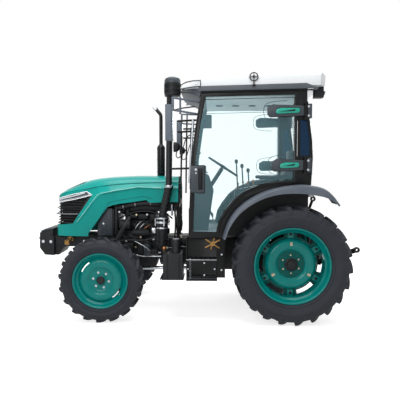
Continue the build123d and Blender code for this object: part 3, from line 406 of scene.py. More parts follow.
FINISHES = {    # shade, second shade, patch, roughness, grain and its depth in mm, metallic, coat, shine
    "hood_paint": ("#009189", "#008780", 260, 0.18, 6, 0.01, 0, 0.2, 0.1),       # glossy sprayed teal
    "wheel_paint": ("#007873", "#006e69", 120, 0.2, 4, 0.02, 0, 0.25, 0.06),     # teal over a pressed rim
    "shaded_wheel_paint": ("#07504c", "#064a46", 60, 0.45, 3, 0.05, 0, 0, 0.12),        # duller teal inside the rim, darkened as painted shade on the recessed plate and web
    "tyre_rubber": ("#1f2228", "#292c33", 160, 0.7, 3, 0.12, 0, 0, 0.3),         # dusty black rubber
    "cast_iron": ("#101214", "#181a1d", 90, 0.5, 5, 0.35, 0, 0, 0.22),          # rough casting, dark paint
    "black_paint": ("#0b0c0e", "#101214", 200, 0.32, 3, 0.02, 0, 0, 0.2),        # satin powder coat
    "black_plastic": ("#131518", "#1a1c1f", 150, 0.45, 1.6, 0.08, 0, 0, 0.25),   # grained moulding
    "grey_plastic": ("#74787d", "#7f8388", 180, 0.5, 1.8, 0.08, 0, 0, 0.3),      # pale trim with a fine grain
    "hinge_cover": ("#2d343b", "#353c43", 90, 0.4, 1.6, 0.06, 0, 0, 0.35),       # mid-grey moulded cover
    "fender_plastic": ("#4d545e", "#575e68", 220, 0.42, 2.2, 0.1, 0, 0, 0.4),    # dull grey-violet moulding
    "roof_shell": ("#dfe2e4", "#d6dadc", 400, 0.32, 8, 0.02, 0, 0.2, 0.5),       # pale glossy shell
    "rim_grey": ("#494e55", "#51565d", 180, 0.45, 1.8, 0.06, 0, 0, 0.3),         # dark grey band under the roof
    "mirror_grey": ("#565e69", "#606873", 120, 0.4, 1.8, 0.05, 0, 0, 0.3),       # mirror housings
    "white_trim": ("#eceff2", "#e2e5e8", 60, 0.4, 2, 0.02, 0, 0, 0.5),           # white plastic parts
    "bright_steel": ("#b9bdc2", "#9da1a6", 40, 0.28, 1.5, 0.02, 1.0, 0, 0.5),    # zinc-plated parts and rods
    "gold_zinc": ("#b3a58f", "#8f8270", 20, 0.32, 1.2, 0.03, 1.0, 0, 0.5),       # yellow-passivated bolts
    "dull_steel": ("#7e8388", "#686d72", 30, 0.45, 1.5, 0.04, 1.0, 0, 0.5),      # weathered zinc on the chain
    "aluminium": ("#c9ccd0", "#b2b5b9", 60, 0.35, 1.2, 0.05, 1.0, 0, 0.5),       # tread edges
    "brass": ("#946f3c", "#6f5530", 25, 0.4, 1.5, 0.05, 0.8, 0, 0.5),            # hooks and brackets
    "rubber_seal": ("#0b0c0e", "#101113", 80, 0.6, 1.5, 0.05, 0, 0, 0.2),        # soft black seal
    "hose_rubber": ("#121316", "#1c1e21", 60, 0.5, 2, 0.08, 0, 0, 0.35),         # engine hoses and cables
    "copper_pipe": ("#a9724e", "#7f5238", 20, 0.35, 1.2, 0.03, 1.0, 0, 0.5),     # fuel and valve pipes
    "ridge_highlight_paint": ("#8fd6cb", "#7cc9be", 200, 0.2, 4, 0.01, 0, 0.3, 0.5),        # pale teal, a painted highlight along the crest of the hood's edge line
    "teal_inlay": ("#0d9c86", "#0b8a77", 60, 0.35, 2, 0.02, 0, 0.2, 0.4),        # inlays of the hinge covers
    "floor_mat": ("#8f9698", "#5d6467", 22, 0.8, 2.5, 0.4, 0, 0, 0.2),           # speckled cab mat
    "arch_lining": ("#93a09f", "#86928f", 140, 0.7, 1.6, 0.1, 0, 0, 0.3),        # pale trim over the arches
    "head_lining": ("#f2f5f6", "#e6ebed", 120, 0.8, 1.2, 0.1, 0, 0, 0.2),        # pale cloth under the roof
    "dash_plastic": ("#1d2024", "#26292e", 120, 0.5, 1.6, 0.08, 0, 0, 0.3),      # interior mouldings
}
FINISH = {name: finish_of(name, *row) for name, row in FINISHES.items()}


def tinted_glass(name, tint, film, mirror_tint):
    """Clear at right angles, mirror-like at a slant; film is the faint colour over what is behind."""
    material, tree, out = blank(name)
    slant = add(tree, "LayerWeight", {"Blend": 0.5})
    share = add(tree, "Math", {0: slant.outputs["Facing"], 1: 4.0}, operation="POWER")
    through = add(tree, "BsdfTransparent", {"Color": linear(tint)})
    veil = add(tree, "BsdfGlossy", {"Color": linear(film), "Roughness": 0.3})
    body = add(tree, "AddShader", {0: through.outputs["BSDF"], 1: veil.outputs["BSDF"]})
    shine = add(tree, "BsdfGlossy", {"Color": linear(mirror_tint), "Roughness": 0.02})
    mix = add(tree, "MixShader",
              {0: share.outputs["Value"], 1: body.outputs["Shader"], 2: shine.outputs["BSDF"]})
    tree.links.new(mix.outputs["Shader"], out.inputs["Surface"])
    return material


def plain_shader(name, **inputs):
    """A smooth shader without a pattern, for lenses, mirrors and screens."""
    material, tree, out = blank(name)
    place = add(tree, "TexCoord").outputs["Object"]
    cloud = add(tree, "TexNoise", {"Vector": place, "Scale": 30.0})
    gloss = add(tree, "MapRange", {"Value": cloud.outputs["Fac"], "To Min": inputs.pop("low", 0.03),
                                   "To Max": inputs.pop("high", 0.12)})
    values = {key.replace("_", " "): value for key, value in inputs.items()}
    shader = add(tree, "BsdfPrincipled", {"Roughness": gloss.outputs["Result"], **values})
    tree.links.new(shader.outputs["BSDF"], out.inputs["Surface"])
    return material


def woven(name, shade, thread, pitch):
    """A woven cloth: two crossing waves of threads, pitch in millimetres."""
    material, tree, out = blank(name)
    place = add(tree, "TexCoord").outputs["Object"]
    across = add(tree, "TexWave", {"Vector": place, "Scale": 1000 / pitch / 2}, bands_direction="X")
    along = add(tree, "TexWave", {"Vector": place, "Scale": 1000 / pitch / 2}, bands_direction="Y")
    weave = add(tree, "Math", {0: across.outputs["Fac"], 1: along.outputs["Fac"]}, operation="MULTIPLY")
    colour = add(tree, "Mix", {"Factor": weave.outputs["Value"]}, data_type="RGBA")
    colour.inputs[6].default_value = linear(shade)
    colour.inputs[7].default_value = linear(thread)
    bump = add(tree, "Bump", {"Height": weave.outputs["Value"], "Strength": 0.5, "Distance": 0.0004})
    shader = add(tree, "BsdfPrincipled", {"Base Color": colour.outputs[2], "Roughness": 0.85,
                                          "Normal": bump.outputs["Normal"], "Sheen Weight": 0.2})
    tree.links.new(shader.outputs["BSDF"], out.inputs["Surface"])
    return material


FINISH["glass"] = tinted_glass("glass", "#fafdfd", "#2c3c40", "#ffffff")             # pale door and front glass
FINISH["dark_glass"] = tinted_glass("dark_glass", "#0a1838", "#1f3247", "#7f93c4")   # navy quarter panes
FINISH["lens"] = plain_shader("lens", Base_Color=linear("#c9ced6"), Metallic=0.25, Coat_Weight=1.0)
FINISH["dark_lens"] = plain_shader("dark_lens", Base_Color=linear("#3a3e47"), Metallic=0.2, Coat_Weight=1.0)
FINISH["mirror"] = plain_shader("mirror", Base_Color=linear("#dfe6ea"), Metallic=1.0, low=0.01, high=0.03)
FINISH["screen"] = plain_shader("screen", Base_Color=linear("#2b6c86"), Coat_Weight=1.0)
FINISH["amber"] = plain_shader("amber", Base_Color=linear("#c9771f"), Coat_Weight=1.0, low=0.2, high=0.3)
FINISH["seat_cloth"] = woven("seat_cloth", "#23262b", "#3a3f46", 3.0)


# ------------------------------------------------------------------ bolts
def hex_bolt(name, place, side, radius, height, finish="bright_steel", body="chassis", stud=0.0):
    """A hexagonal head on a washer facing out to one side, with its stud's end where given; in millimetres."""
    place, out = Vector(place), Vector((0, side * MM, 0))
    washer = rod(name + "_washer", (place, place + out * 3), radius * 1.35, 20)
    head = bevelled(rod(name + "_head", (place, place + out * height), radius, 6), radius * 0.12)
    pieces = [head, washer]
    if stud:
        end = rod(name + "_stud", (place, place + out * (height + stud)), radius * 0.5, 12)
        pieces.append(bevelled(end, 1, 1))
    return put(joined(name, pieces), finish, body)


def bolt_ring(name, centre, side, out, circle, count, first, radius, height, finish, body, stud):
    """Bolts on a circle round a wheel's middle, made one piece."""
    middle = Vector(centre) + Vector((0, side * out * MM, 0))
    bolt = hex_bolt(name, middle + Vector((0, 0, circle * MM)), side, radius, height, finish, body, stud)
    return put(round_copies(bolt, count, (0, 1, 0), middle, first), finish, body)


# ------------------------------------------------------------------ wheels
WHEEL_STEPS = 112       # faces round a tyre or a rim


def tyre_profile(rim_r, radius, half, lug_h):
    """The carcass from bead to bead, as (radius, distance across); the crown is slightly domed."""
    crown = radius - lug_h
    seat, bead = rim_r - 0.021, 0.82 * half - 0.011
    wall = crown - rim_r
    side = [
        (seat, bead), (rim_r + 0.002, bead + 0.001), (rim_r + 0.006, bead + 0.010),
        (rim_r + 0.022, bead + 0.016), (rim_r + 0.026, bead + 0.022), (rim_r + 0.034, bead + 0.022),
        (rim_r + 0.038, bead + 0.018), (rim_r + 0.38 * wall, 0.975 * half), (rim_r + 0.52 * wall, half - 0.001),
        (rim_r + 0.55 * wall, half + 0.002), (rim_r + 0.58 * wall, half - 0.001),
        (rim_r + 0.76 * wall, 0.975 * half), (rim_r + 0.90 * wall, 0.925 * half),
        (crown - 0.006, 0.84 * half), (crown, 0.70 * half), (crown + 0.003, 0.35 * half),
    ]
    return side + [(crown + 0.004, 0.0)] + [(r, -y) for r, y in side[::-1]]


def tread_lug(name, centre, radius, half, lug_h, lug_w, side):
    """One chevron lug on top of the wheel: a block drawn outwards and rearwards over the shoulder."""
    reach = lug_w / 2 + 0.26 * half

    def spot(t):
        """The lug's middle at share t of its length, as a step from the wheel's centre."""
        x = -reach + lug_w / 2 + (2 * reach - lug_w) * t ** 1.15
        fall = 0.012 * t ** 3
        return Vector((x, side * (-0.010 + 0.97 * half * t), math.sqrt(radius**2 - x**2) - fall))

    start = Vector(centre) + spot(0)
    low = -lug_h - 0.014
    foot, top = lug_w / 2 + 0.005, lug_w / 2 - 0.004
    section = [start + Vector((x, 0, z)) for x, z in ((-foot, low), (foot, low), (top, 0), (-top, 0))]
    stations = [spot(k / 5) for k in range(6)]
    steps = [b - a for a, b in zip(stations, stations[1:])]
    scale = half / 0.19
    shoulder = ((0.004, 0.006, -0.026), (0.006, 0.006, -0.034), (0.009, 0.003, -0.030), (0.005, -0.010, -0.018))
    steps += [Vector((x, side * y, z)) * scale for x, y, z in shoulder]
    return bevelled(extruded(mesh_of(name, section, faces=[(0, 1, 2, 3)]), *steps), 4, 2, 50)


def tyre(node, centre, rim_r, radius, width, lugs, lug_h, lug_w):
    """Carcass and both rows of lugs."""
    half = width / 2
    pieces = [smooth(lathe(node + "_carcass", tyre_profile(rim_r, radius, half, lug_h), centre, WHEEL_STEPS), 60)]
    for row, side in ((0, 1), (1, -1)):
        lug = tread_lug(f"{node}_lug_{row}", centre, radius, half, lug_h, lug_w, side)
        pieces.append(round_copies(lug, lugs, (0, 1, 0), centre, row * 180 / lugs))
    return stand_in(joined(node + "_skin", pieces), node, "tyre_rubber")


def rim_band(name, centre, rim_r, width, well, shelf):
    """The rolled band: flange, bead seat, shoulder and well, with the same wall all round."""
    half = 0.41 * width
    outer = [(rim_r, half), (rim_r, half - 0.008), (rim_r - 0.019, half - 0.013),
             (rim_r - 0.0225, shelf + 0.022), (rim_r - 0.032, shelf + 0.010), (well, shelf)]
    inner = [(well - 0.009, shelf - 0.004), (rim_r - 0.042, shelf + 0.016), (rim_r - 0.031, shelf + 0.028),
             (rim_r - 0.028, half - 0.017), (rim_r - 0.014, half + 0.001), (rim_r - 0.005, half + 0.003)]
    profile = outer + [(r, -y) for r, y in outer[::-1]] + [(r, -y) for r, y in inner[::-1]] + inner
    return smooth(lathe(name, profile, centre, WHEEL_STEPS), 40)


def slotted(disc, centre, radius, width, turns):
    """Cuts curved slots through a disc, each 34 degrees long, at the given turns."""
    for turn in turns:
        arc = [math.radians(turn - 17 + 3.4 * k) for k in range(11)]
        outline = [(centre[0] + r * math.sin(a), centre[2] + r * math.cos(a))
                   for r, bow in ((radius + width / 2, arc), (radius - width / 2, arc[::-1])) for a in bow]
        cut(disc, side_slab("slot", outline, centre[1] - 0.08, centre[1] + 0.12))
    return disc


REAR_DISC = (       # radius, distance outwards from the wheel's middle: out round the back, in over the front
    (0.043, -0.239), (0.078, -0.239), (0.078, -0.020), (0.161, -0.020), (0.170, -0.008), (0.205, 0.006),
    (0.240, 0.012), (0.266, 0.004), (0.284, -0.018), (0.290, -0.045), (0.301, -0.045), (0.297, -0.016),
    (0.281, 0.010), (0.262, 0.022), (0.238, 0.026), (0.204, 0.020), (0.172, 0.006), (0.160, -0.008),
    (0.083, -0.008), (0.083, 0.004), (0.076, 0.010), (0.043, 0.010),
)
FRONT_DISC = (
    (0.036, -0.039), (0.081, -0.039), (0.081, 0.018), (0.140, 0.034), (0.172, 0.044), (0.222, 0.044),
    (0.240, 0.034), (0.259, 0.018), (0.259, 0.028), (0.243, 0.045), (0.224, 0.056), (0.206, 0.060),
    (0.176, 0.057), (0.150, 0.048), (0.136, 0.033), (0.126, 0.029), (0.062, 0.029), (0.058, 0.034),
    (0.058, 0.047), (0.052, 0.052), (0.036, 0.052),
)
REAR_WEB = ((0.294, -0.062), (0.388, -0.066), (0.388, -0.054), (0.294, -0.050))
REAR_PLATE = ((0.082, -0.012), (0.158, -0.012), (0.158, -0.004), (0.150, -0.001), (0.082, -0.001))
REAR_HUB_CAP = ((0.0, -0.006), (0.079, -0.006), (0.079, 0.016), (0.070, 0.024), (0.050, 0.028), (0.046, 0.052),
                (0.034, 0.058), (0.0, 0.058))
FRONT_HUB_CAP = ((0.0, 0.040), (0.049, 0.040), (0.049, 0.056), (0.040, 0.066), (0.0, 0.070))
TYRES = {       # metres: rim and tyre radius, width, lugs a side, lug height and width
    "rear": (0.438, 0.685, 0.380, 22, 0.040, 0.044),
    "front": (0.322, 0.495, 0.240, 19, 0.034, 0.034),
}
WHEEL_BOLTS = {     # mm: distance out, circle, count, first turn, radius, height, finish, stud
    "rear": (("hub", -6, 104, 6, -2, 11, 12, "gold_zinc", 14), ("disc", 21, 238, 3, 0, 16, 15, "gold_zinc", 6),
             ("lug", -30, 343, 6, 0, 12, 10, "black_paint", 0), ("cap", 24, 61, 6, 38, 6, 6, "black_paint", 0)),
    "front": (("hub", 30, 92, 6, 40, 10, 11, "bright_steel", 10),),
}


def wheel(axle, side, s):
    """Tyre, rim, hub and bolts of one wheel."""
    rear_one = axle == "rear"
    body = f"{axle}_wheel_{side}"
    name = f"{axle}_rim_{side}"
    centre = Vector((REAR_X, s * REAR_Y, REAR_HUB) if rear_one else (FRONT_X, s * FRONT_Y, FRONT_HUB))

    def facing(profile):
        return [(r, s * y) for r, y in profile]

    tyre(f"{axle}_tyre_{side}", centre, *TYRES[axle])
    disc = lathe(name + "_disc", facing(REAR_DISC if rear_one else FRONT_DISC), centre, WHEEL_STEPS)
    if rear_one:
        corners = (centre + Vector((-0.036, s * -0.062, 0.284)), centre + Vector((0.036, s * -0.030, 0.382)))
        pieces = [rim_band(name + "_band", centre, 0.438, 0.380, 0.386, 0.078),
                  round_copies(bevelled(cube(name + "_lug", corners), 6), 6, (0, 1, 0), centre)]
        # the web and the plate take the darker teal, painted shade for the recess inside the rim
        web = slotted(lathe(name + "_web", facing(REAR_WEB), centre, WHEEL_STEPS), centre, 0.345, 0.050,
                      [s * turn for turn in range(30, 390, 60)])
        put(smooth(web, 30), "shaded_wheel_paint", body)
        lathed(name + "_plate", facing(REAR_PLATE), centre, "shaded_wheel_paint", 96, (0, 1, 0), 30, body, True)
        lathed(name + "_hub", facing(REAR_HUB_CAP), centre, "cast_iron", 64, (0, 1, 0), 35, body)
    else:
        pieces = [rim_band(name + "_band", centre, 0.322, 0.240, 0.268, 0.040)]
        slotted(disc, centre, 0.242, 0.015, (s * 50, s * -130))
        lathed(name + "_cap", facing(FRONT_HUB_CAP), centre, "black_plastic", 48, (0, 1, 0), 35, body)
    stand_in(joined(name + "_skin", [*pieces, smooth(disc, 30)]), name, "wheel_paint")
    for part, *sizes, finish, stud in WHEEL_BOLTS[axle]:
        bolt_ring(f"{name}_{part}_bolts", centre, s, *sizes, finish, body, stud)
    valve_r, valve_y, turn = (0.405, 0.135, 40) if rear_one else (0.284, 0.072, 235)
    valve = rod(name + "_valve", (centre + Vector((0, s * (valve_y - 0.02), valve_r)),
                                  centre + Vector((0, s * (valve_y + 0.022), valve_r - 0.012))), 5, 12)
    put(turned(valve, (0, 1, 0), s * turn, centre), "bright_steel", body)


for s, side in SIDES:
    wheel("rear", side, s)
    wheel("front", side, s)


# ------------------------------------------------------------------ CAD pieces that need only edges and finish
DRESSED = (     # finish, rounding in millimetres, nodes
    ("cast_iron", 7, "front_weight"), ("cast_iron", 6, "front_axle_beam gearbox_housing"),
    ("cast_iron", 5, "engine_block lift_arms"), ("cast_iron", 4, "rear_axle"),
    ("cast_iron", 3, "knuckle_left knuckle_right front_frame engine_fittings"),
    ("bright_steel", 2, "pto_shaft"), ("bright_steel", 1.5, "tie_rod"), ("bright_steel", 1, "drive_shaft"),
    ("black_plastic", 6, "work_lamps"), ("black_plastic", 5, "fuel_tank battery_box"),
    ("black_plastic", 4, "radiator"), ("black_plastic", 2, "intake_stack"),
    ("black_plastic", 1.5, "hood_grille"),
    ("black_paint", 6, "cab_frame"), ("black_paint", 5, "door_left_frame door_right_frame"),
    ("black_paint", 3, "drawbar lower_link_left lower_link_right"), ("black_paint", 2.5, "cab_steps"),
    ("black_paint", 2, "hood_bracket cab_panels top_link exhaust"),
    ("black_paint", 1.5, "lift_rod_left lift_rod_right"),
    ("dash_plastic", 7, "cab_controls"), ("dash_plastic", 5, "seat_base"),
    ("dash_plastic", 1.5, "steering_wheel"), ("floor_mat", 3, "cab_floor"), ("mirror_grey", 10, "mirrors"),
    ("roof_shell", 16, "cab_roof"), ("rim_grey", 8, "roof_rim"),
)
for finish, width, nodes in DRESSED:
    for node in nodes.split():
        dressed(node, finish, width, 3 if width > 4 else 2)
for node in ("cab_glass", "rear_window", "door_left_glass", "door_right_glass"):
    pane = pick(dressed(node, "glass", 0.6, 1))
    bpy.ops.object.shade_flat()
    if node == "cab_glass":
        pane.data.materials.append(FINISH["dark_glass"])
        for face in pane.data.polygons:
            face.material_index = 1 if abs(face.center.y) > 0.70 else 0


# ------------------------------------------------------------------ hood
HOOD_ROWS = (   # mm: x from the front axle, crown z, shoulder y, shoulder z, crease y, crease z, lower y
    (-655, 1462, 150, 1440, 232, 1330, 236), (-620, 1490, 185, 1462, 268, 1300, 262),
    (-540, 1531, 215, 1490, 300, 1230, 292), (-332, 1620, 242, 1526, 324, 1200, 318),
    (-180, 1658, 252, 1556, 334, 1370, 325), (-60, 1672, 258, 1574, 337, 1478, 328),
    (100, 1684, 262, 1594, 339, 1513, 331), (386, 1695, 268, 1610, 341, 1557, 333),
    (640, 1693, 270, 1616, 341, 1545, 333), (877, 1688, 270, 1614, 341, 1540, 333),
)
HOOD_LOW = 947      # mm: height of the hood's lower edge
GRILLE_EDGE = ((-800, 1088), (-596, 1090), (-444, 1105), (-205, 1458), (-655, 1368), (-800, 1362))
LAMP_EDGE = ((-800, 1362), (-655, 1368), (-205, 1458), (-278, 1500), (-655, 1413), (-800, 1408))
BAY_EDGE = ((-249, 900), (-249, 981), (-1, 1317), (40, 1330), (130, 1351), (300, 1374), (477, 1401),
            (512, 1372), (539, 1367), (980, 1379), (980, 900))
LAMP_TRIM = ((-640, 1366), (-430, 1403), (-205, 1458), (-278, 1500), (-430, 1470), (-640, 1417))
RIDGE = ((-385, 1118), (-283, 1247), (-130, 1452), (-95, 1472), (100, 1511), (386, 1557), (668, 1543),
         (865, 1538))
HOOD_LINES = (      # name, radius, finish, how far it stands off the panel, step, places
    ("lamp_trim", 6, "white_trim", 2, 25, LAMP_TRIM),
    ("hood_shoulder_gap", 2.2, "rubber_seal", 0, 40,
     ((-299, 1524), (-112, 1562), (100, 1586), (286, 1600), (684, 1611), (860, 1609))),
    ("hood_ridge", 13, "hood_paint", -7, 40, RIDGE),
    # the crest bead's pale teal is a painted highlight along the top of the ridge
    ("hood_ridge_highlight", 4, "ridge_highlight_paint", 5, 40, [(x - 5, z + 7) for x, z in RIDGE[:-1]]),
    ("hood_lower_groove", 1.8, "rubber_seal", 0, 40,
     ((-205, 1010), (10, 1365), (135, 1396), (430, 1446), (560, 1412))),
    ("lamp_strip", 9, "lens", 0, 30, ((-640, 1400), (-430, 1448), (-300, 1484))),
    ("lamp_lower_strip", 3, "lens", 0, 30, ((-640, 1380), (-430, 1418), (-250, 1458))),
)
GRILLE_FINS = (     # height, how far it stands out, rear end, radius, finish
    (1224, 14, -375, 6, "grey_plastic"), (1110, 4, -450, 3, "black_plastic"), (1300, 4, -320, 3, "black_plastic"),
)


def smooth_row(table, x):
    """Every column of a table at x, along a smooth curve through its rows."""
    xs = [row[0] for row in table]
    k = max(0, min(len(xs) - 2, int(np.searchsorted(xs, x)) - 1))
    gap = xs[k + 1] - xs[k]
    t = (x - xs[k]) / gap
    values = []
    for c in range(1, len(table[0])):
        p = [row[c] for row in table]
        around = [(max(j - 1, 0), min(j + 1, len(p) - 1)) for j in (k, k + 1)]
        slope = [(p[after] - p[before]) / (xs[after] - xs[before]) for before, after in around]
        values.append((2 * t**3 - 3 * t**2 + 1) * p[k] + (t**3 - 2 * t**2 + t) * gap * slope[0]
                      + (3 * t**2 - 2 * t**3) * p[k + 1] + (t**3 - t**2) * gap * slope[1])
    return values


def hood_half(x, grow=0.0):
    """One half of the hood's section at x as (y, z) in mm, from the crown down, grown outwards by grow."""
    crown, sy, sz, cy, cz, ly = smooth_row(HOOD_ROWS, x)
    top = [(sy * k / 5, crown - (crown - sz - 10) * (k / 5) ** 2.6) for k in range(5)]
    shoulder = [(sy - 9, sz + 9), (sy - 3, sz + 3), (sy - 5, sz - 4), (sy + 2, sz - 6)]
    side = [(sy + (cy - sy) * t, sz - 6 + (cz - sz + 12) * t - 8 * math.sin(math.pi * t)) for t in (0.35, 0.7)]
    crease = [(cy - 2, cz + 6), (cy + 1, cz), (cy - 6, cz - 9)]
    low = [(cy - 6 + (ly - cy + 6) * t, cz - 9 + (HOOD_LOW - cz + 9) * t) for t in (0.2, 0.45, 0.72, 1.0)]
    return [(y + grow, z + grow * 0.6) for y, z in top + shoulder + side + crease + low]


def hood_loop(x):
    """The hood's whole section at x, from its left edge over the crown to its right edge."""
    half = hood_half(x)
    return front(*[(x, -y, z) for y, z in half[::-1]], *[(x, y, z) for y, z in half[1:]])


def hood_y(x, z, grow=0.0):
    """Half width of the hood's side at a height."""
    half = [(y, v) for y, v in hood_half(x, grow) if y > 120]
    return float(np.interp(z, [v for _, v in half[::-1]], [y for y, _ in half[::-1]]))


def hood():
    """The shell with its openings and hinge lugs."""
    loops = [hood_loop(x) for x in np.concatenate([np.linspace(-655, -500, 8), np.linspace(-470, 877, 34)])]
    shell = heal(joined("hood_skin", [skinned("hood_skin", loops), flat("hood_front", loops[0])]), 1e-4)
    walled(shell, 8, -1.0)
    for edge in (GRILLE_EDGE, LAMP_EDGE, BAY_EDGE):
        cut(shell, side_slab("hood_opening", front(*edge), -0.5, 0.5))
    lugs = [cube(f"hood_lug_{side}", front((800, 150, 1585), (877, 160, 1676), s=s)) for s, side in SIDES]
    stand_in(smooth(joined("hood_skin", [shell, *lugs]), 17), "hood_shell", "hood_paint")


def spaced(places, step):
    """The same line with a point at least every step millimetres."""
    out = [places[0]]
    for (x0, z0), (x1, z1) in zip(places, places[1:]):
        count = max(1, int(math.hypot(x1 - x0, z1 - z0) / step))
        out += [(x0 + (x1 - x0) * k / count, z0 + (z1 - z0) * k / count) for k in range(1, count + 1)]
    return out


def hood_details():
    """Beads, grooves and lamp strips along both sides, grille fins, nose vent and rear seal."""
    for name, radius, finish, grow, step, places in HOOD_LINES:
        points = [(x, hood_y(x, z, grow), z) for x, z in spaced(places, step)]
        beads = [hose(f"{name}_{side}", front(*points, s=s), radius, False, 2) for s, side in SIDES]
        put(joined(name, beads), finish, "hood")
    for k, (z, lip, x1, radius, finish) in enumerate(GRILLE_FINS):
        left = [(x, -hood_y(x, z) - lip, z) for x in range(x1, -656, -15)]
        nose = [(-655 - lip, y, z) for y in (-215, -120, 0, 120, 215)]
        right = [(x, -y, v) for x, y, v in left[::-1]]
        line(f"grille_fin_{k}", front(*left, *nose, *right), radius, finish, "hood", False, 2)
    plate("grille_box", front((-600, 1100), (-450, 1112), (-235, 1440), (-610, 1362)), -200, 200,
          "rubber_seal", 10, body="hood")
    rows = [front(*[(x, y, smooth_row(HOOD_ROWS, x)[0] + 2 - 0.0006 * y * y) for y in (-105, -60, 0, 60, 105)])
            for x in range(-575, -330, 20)]
    put(smooth(walled(skinned("nose_vent", rows), 5, 0.0), 40), "hinge_cover", "hood")
    line("hood_rear_seal", [(x + 0.003, y, z) for x, y, z in hood_loop(876)], 7, "rubber_seal", "hood", False)


hood()
dressed("headlamps", "dark_lens", 3, 3)
hood_details()


# ------------------------------------------------------------------ fenders
FENDER_ROWS = (     # mm: x from the rear axle, z of the top, depth of the outer lip
    (-793, 1000, 20), (-725, 1182, 40), (-609, 1341, 50), (-399, 1488, 60), (-189, 1565, 72), (28, 1600, 92),
    (187, 1602, 105), (342, 1566, 98), (442, 1491, 64), (526, 1384, 16),
)
WALL_END, LINING_END = 235, 205     # mm behind the rear axle, where the cab ends


def fender_loops(s):
    """Sections along the fender from front to rear, each from the inner wall over the top and down the lip."""
    steps = [np.linspace(a[0], b[0], 5)[:-1] for a, b in zip(FENDER_ROWS, FENDER_ROWS[1:])]
    places = [(x, *smooth_row(FENDER_ROWS, x)) for x in np.concatenate(steps + [[FENDER_ROWS[-1][0]]])]
    loops = []
    for k, (x, z, lip) in enumerate(places):
        before, after = places[max(k - 1, 0)], places[min(k + 1, len(places) - 1)]
        down = Vector((after[1] - before[1], 0, before[0] - after[0])).normalized()
        if down.dot(Vector((-x, 0, REAR_HUB / MM - z))) < 0:
            down.negate()
        section = [(502, 12), (502, 0), (800, 0), (880, 2), (912, 8), (926, 18), (930, 30), (930, max(lip, 32)),
                   (922, max(lip, 32)), (919, 30), (906, 19), (878, 13), (800, 12)]
        loops.append([Vector(p) for p in rear(*[(x + down.x * d, y, z + down.z * d) for y, d in section], s=s)])
    return loops


def fenders():
    """Top with its rolled lip, wheel-well wall and the pale lining inside the cab."""
    for s, side in SIDES:
        loops = fender_loops(s)
        ends = [flat(f"fender_{side}_end_{k}", loops[k]) for k in (0, -1)]
        top = heal(joined(f"fender_{side}", [skinned(f"fender_{side}", loops, True), *ends]))
        put(smooth(top, 28), "fender_plastic")
        edge = [(p[2].x, p[2].z - 0.006) for p in loops if p[2].x < REAR_X + WALL_END * MM]
        foot = rear((WALL_END, 1585), (WALL_END, 985), (-793, 985))
        wall = side_slab(f"fender_wall_{side}", edge + foot, s * 0.505 - 0.004, s * 0.505 + 0.004)
        put(wall, "black_plastic")
        if side == "left":
            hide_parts("fenders")
        rows = [[(p[2].x, s * y, p[2].z + 0.004) for y in (0.502, 0.668)]
                for p in loops if p[2].x < REAR_X + LINING_END * MM]
        put(smooth(walled(skinned(f"arch_lining_{side}", rows), 6, 1.0), 40), "arch_lining")


fenders()


# ------------------------------------------------------------------ engine bay
ENGINE_LINES = (    # name, radius, finish, points; millimetres, x from the front axle
    ("top_hose", 24, "hose_rubber",
     ((40, -150, 1240), (110, -170, 1262), (170, -130, 1230), (220, -60, 1190))),
    ("diagonal_hose", 30, "hose_rubber",
     ((262, -262, 1178), (230, -300, 1120), (170, -300, 1020), (112, -262, 925))),
    ("fuel_line_1", 5, "bright_steel",
     ((330, -285, 1035), (360, -300, 1090), (420, -250, 1140), (470, -150, 1165))),
    ("fuel_line_2", 5, "bright_steel",
     ((380, -285, 1035), (410, -310, 1075), (470, -260, 1120), (520, -150, 1160))),
    ("fuel_line_3", 5, "copper_pipe",
     ((430, -285, 1030), (470, -310, 1060), (530, -260, 1100), (570, -150, 1150))),
    ("fuel_line_4", 4, "hose_rubber",
     ((230, -200, 1150), (280, -260, 1120), (360, -300, 1060), (470, -300, 1010), (560, -290, 960))),
    ("loom_low", 9, "hose_rubber",
     ((90, -230, 880), (240, -300, 905), (420, -310, 890), (600, -280, 930), (700, -250, 1010))),
    ("loom_high", 10, "hose_rubber",
     ((120, -180, 1160), (260, -220, 1235), (450, -215, 1260), (640, -230, 1225), (760, -200, 1120))),
    ("loom_back", 8, "hose_rubber", ((700, -260, 1250), (720, -300, 1100), (700, -310, 980), (730, -280, 860))),
    ("return_line", 4, "hose_rubber",
     ((250, -300, 960), (350, -322, 940), (450, -322, 905), (560, -300, 850), (600, -290, 800))),
    ("drain_line", 5, "bright_steel",
     ((300, -290, 900), (380, -325, 860), (470, -335, 820), (520, -330, 770))),
    ("low_pipe_1", 8, "bright_steel", ((418, -210, 729), (530, -214, 731), (643, -210, 729))),
    ("low_pipe_2", 8, "bright_steel", ((418, -226, 684), (530, -230, 686), (650, -226, 684))),
    ("steering_pipe", 7, "bright_steel",
     ((150, -245, 690), (260, -250, 720), (360, -245, 700), (420, -226, 684))),
    ("upright_tube", 13, "bright_steel", ((792, -285, 1205), (794, -285, 1280), (792, -285, 1345))),
    ("upright_hose", 11, "hose_rubber",
     ((828, -300, 950), (845, -310, 1130), (822, -300, 1290), (842, -260, 1380))),
    ("coil_hose", 12, "hose_rubber",
     ((860, -240, 930), (895, -330, 1040), (850, -340, 1150), (880, -300, 1260), (860, -200, 1340))),
    ("coolant_hose", 17, "hose_rubber",
     ((60, -120, 1010), (110, -215, 1000), (160, -240, 950), (250, -190, 900))),
    ("brake_pipe", 5, "bright_steel",
     ((690, -205, 800), (760, -240, 790), (900, -230, 820), (1000, -220, 800))),
    ("valve_pipe_1", 7, "copper_pipe",
     ((1020, -240, 870), (1100, -330, 900), (1180, -350, 930), (1250, -300, 950))),
    ("valve_pipe_2", 7, "hose_rubber",
     ((1010, -250, 930), (1090, -340, 960), (1190, -360, 900), (1280, -300, 900))),
)
ON_BOTH_SIDES = ("upright_tube", "coil_hose", "coolant_hose", "top_hose", "loom_high")
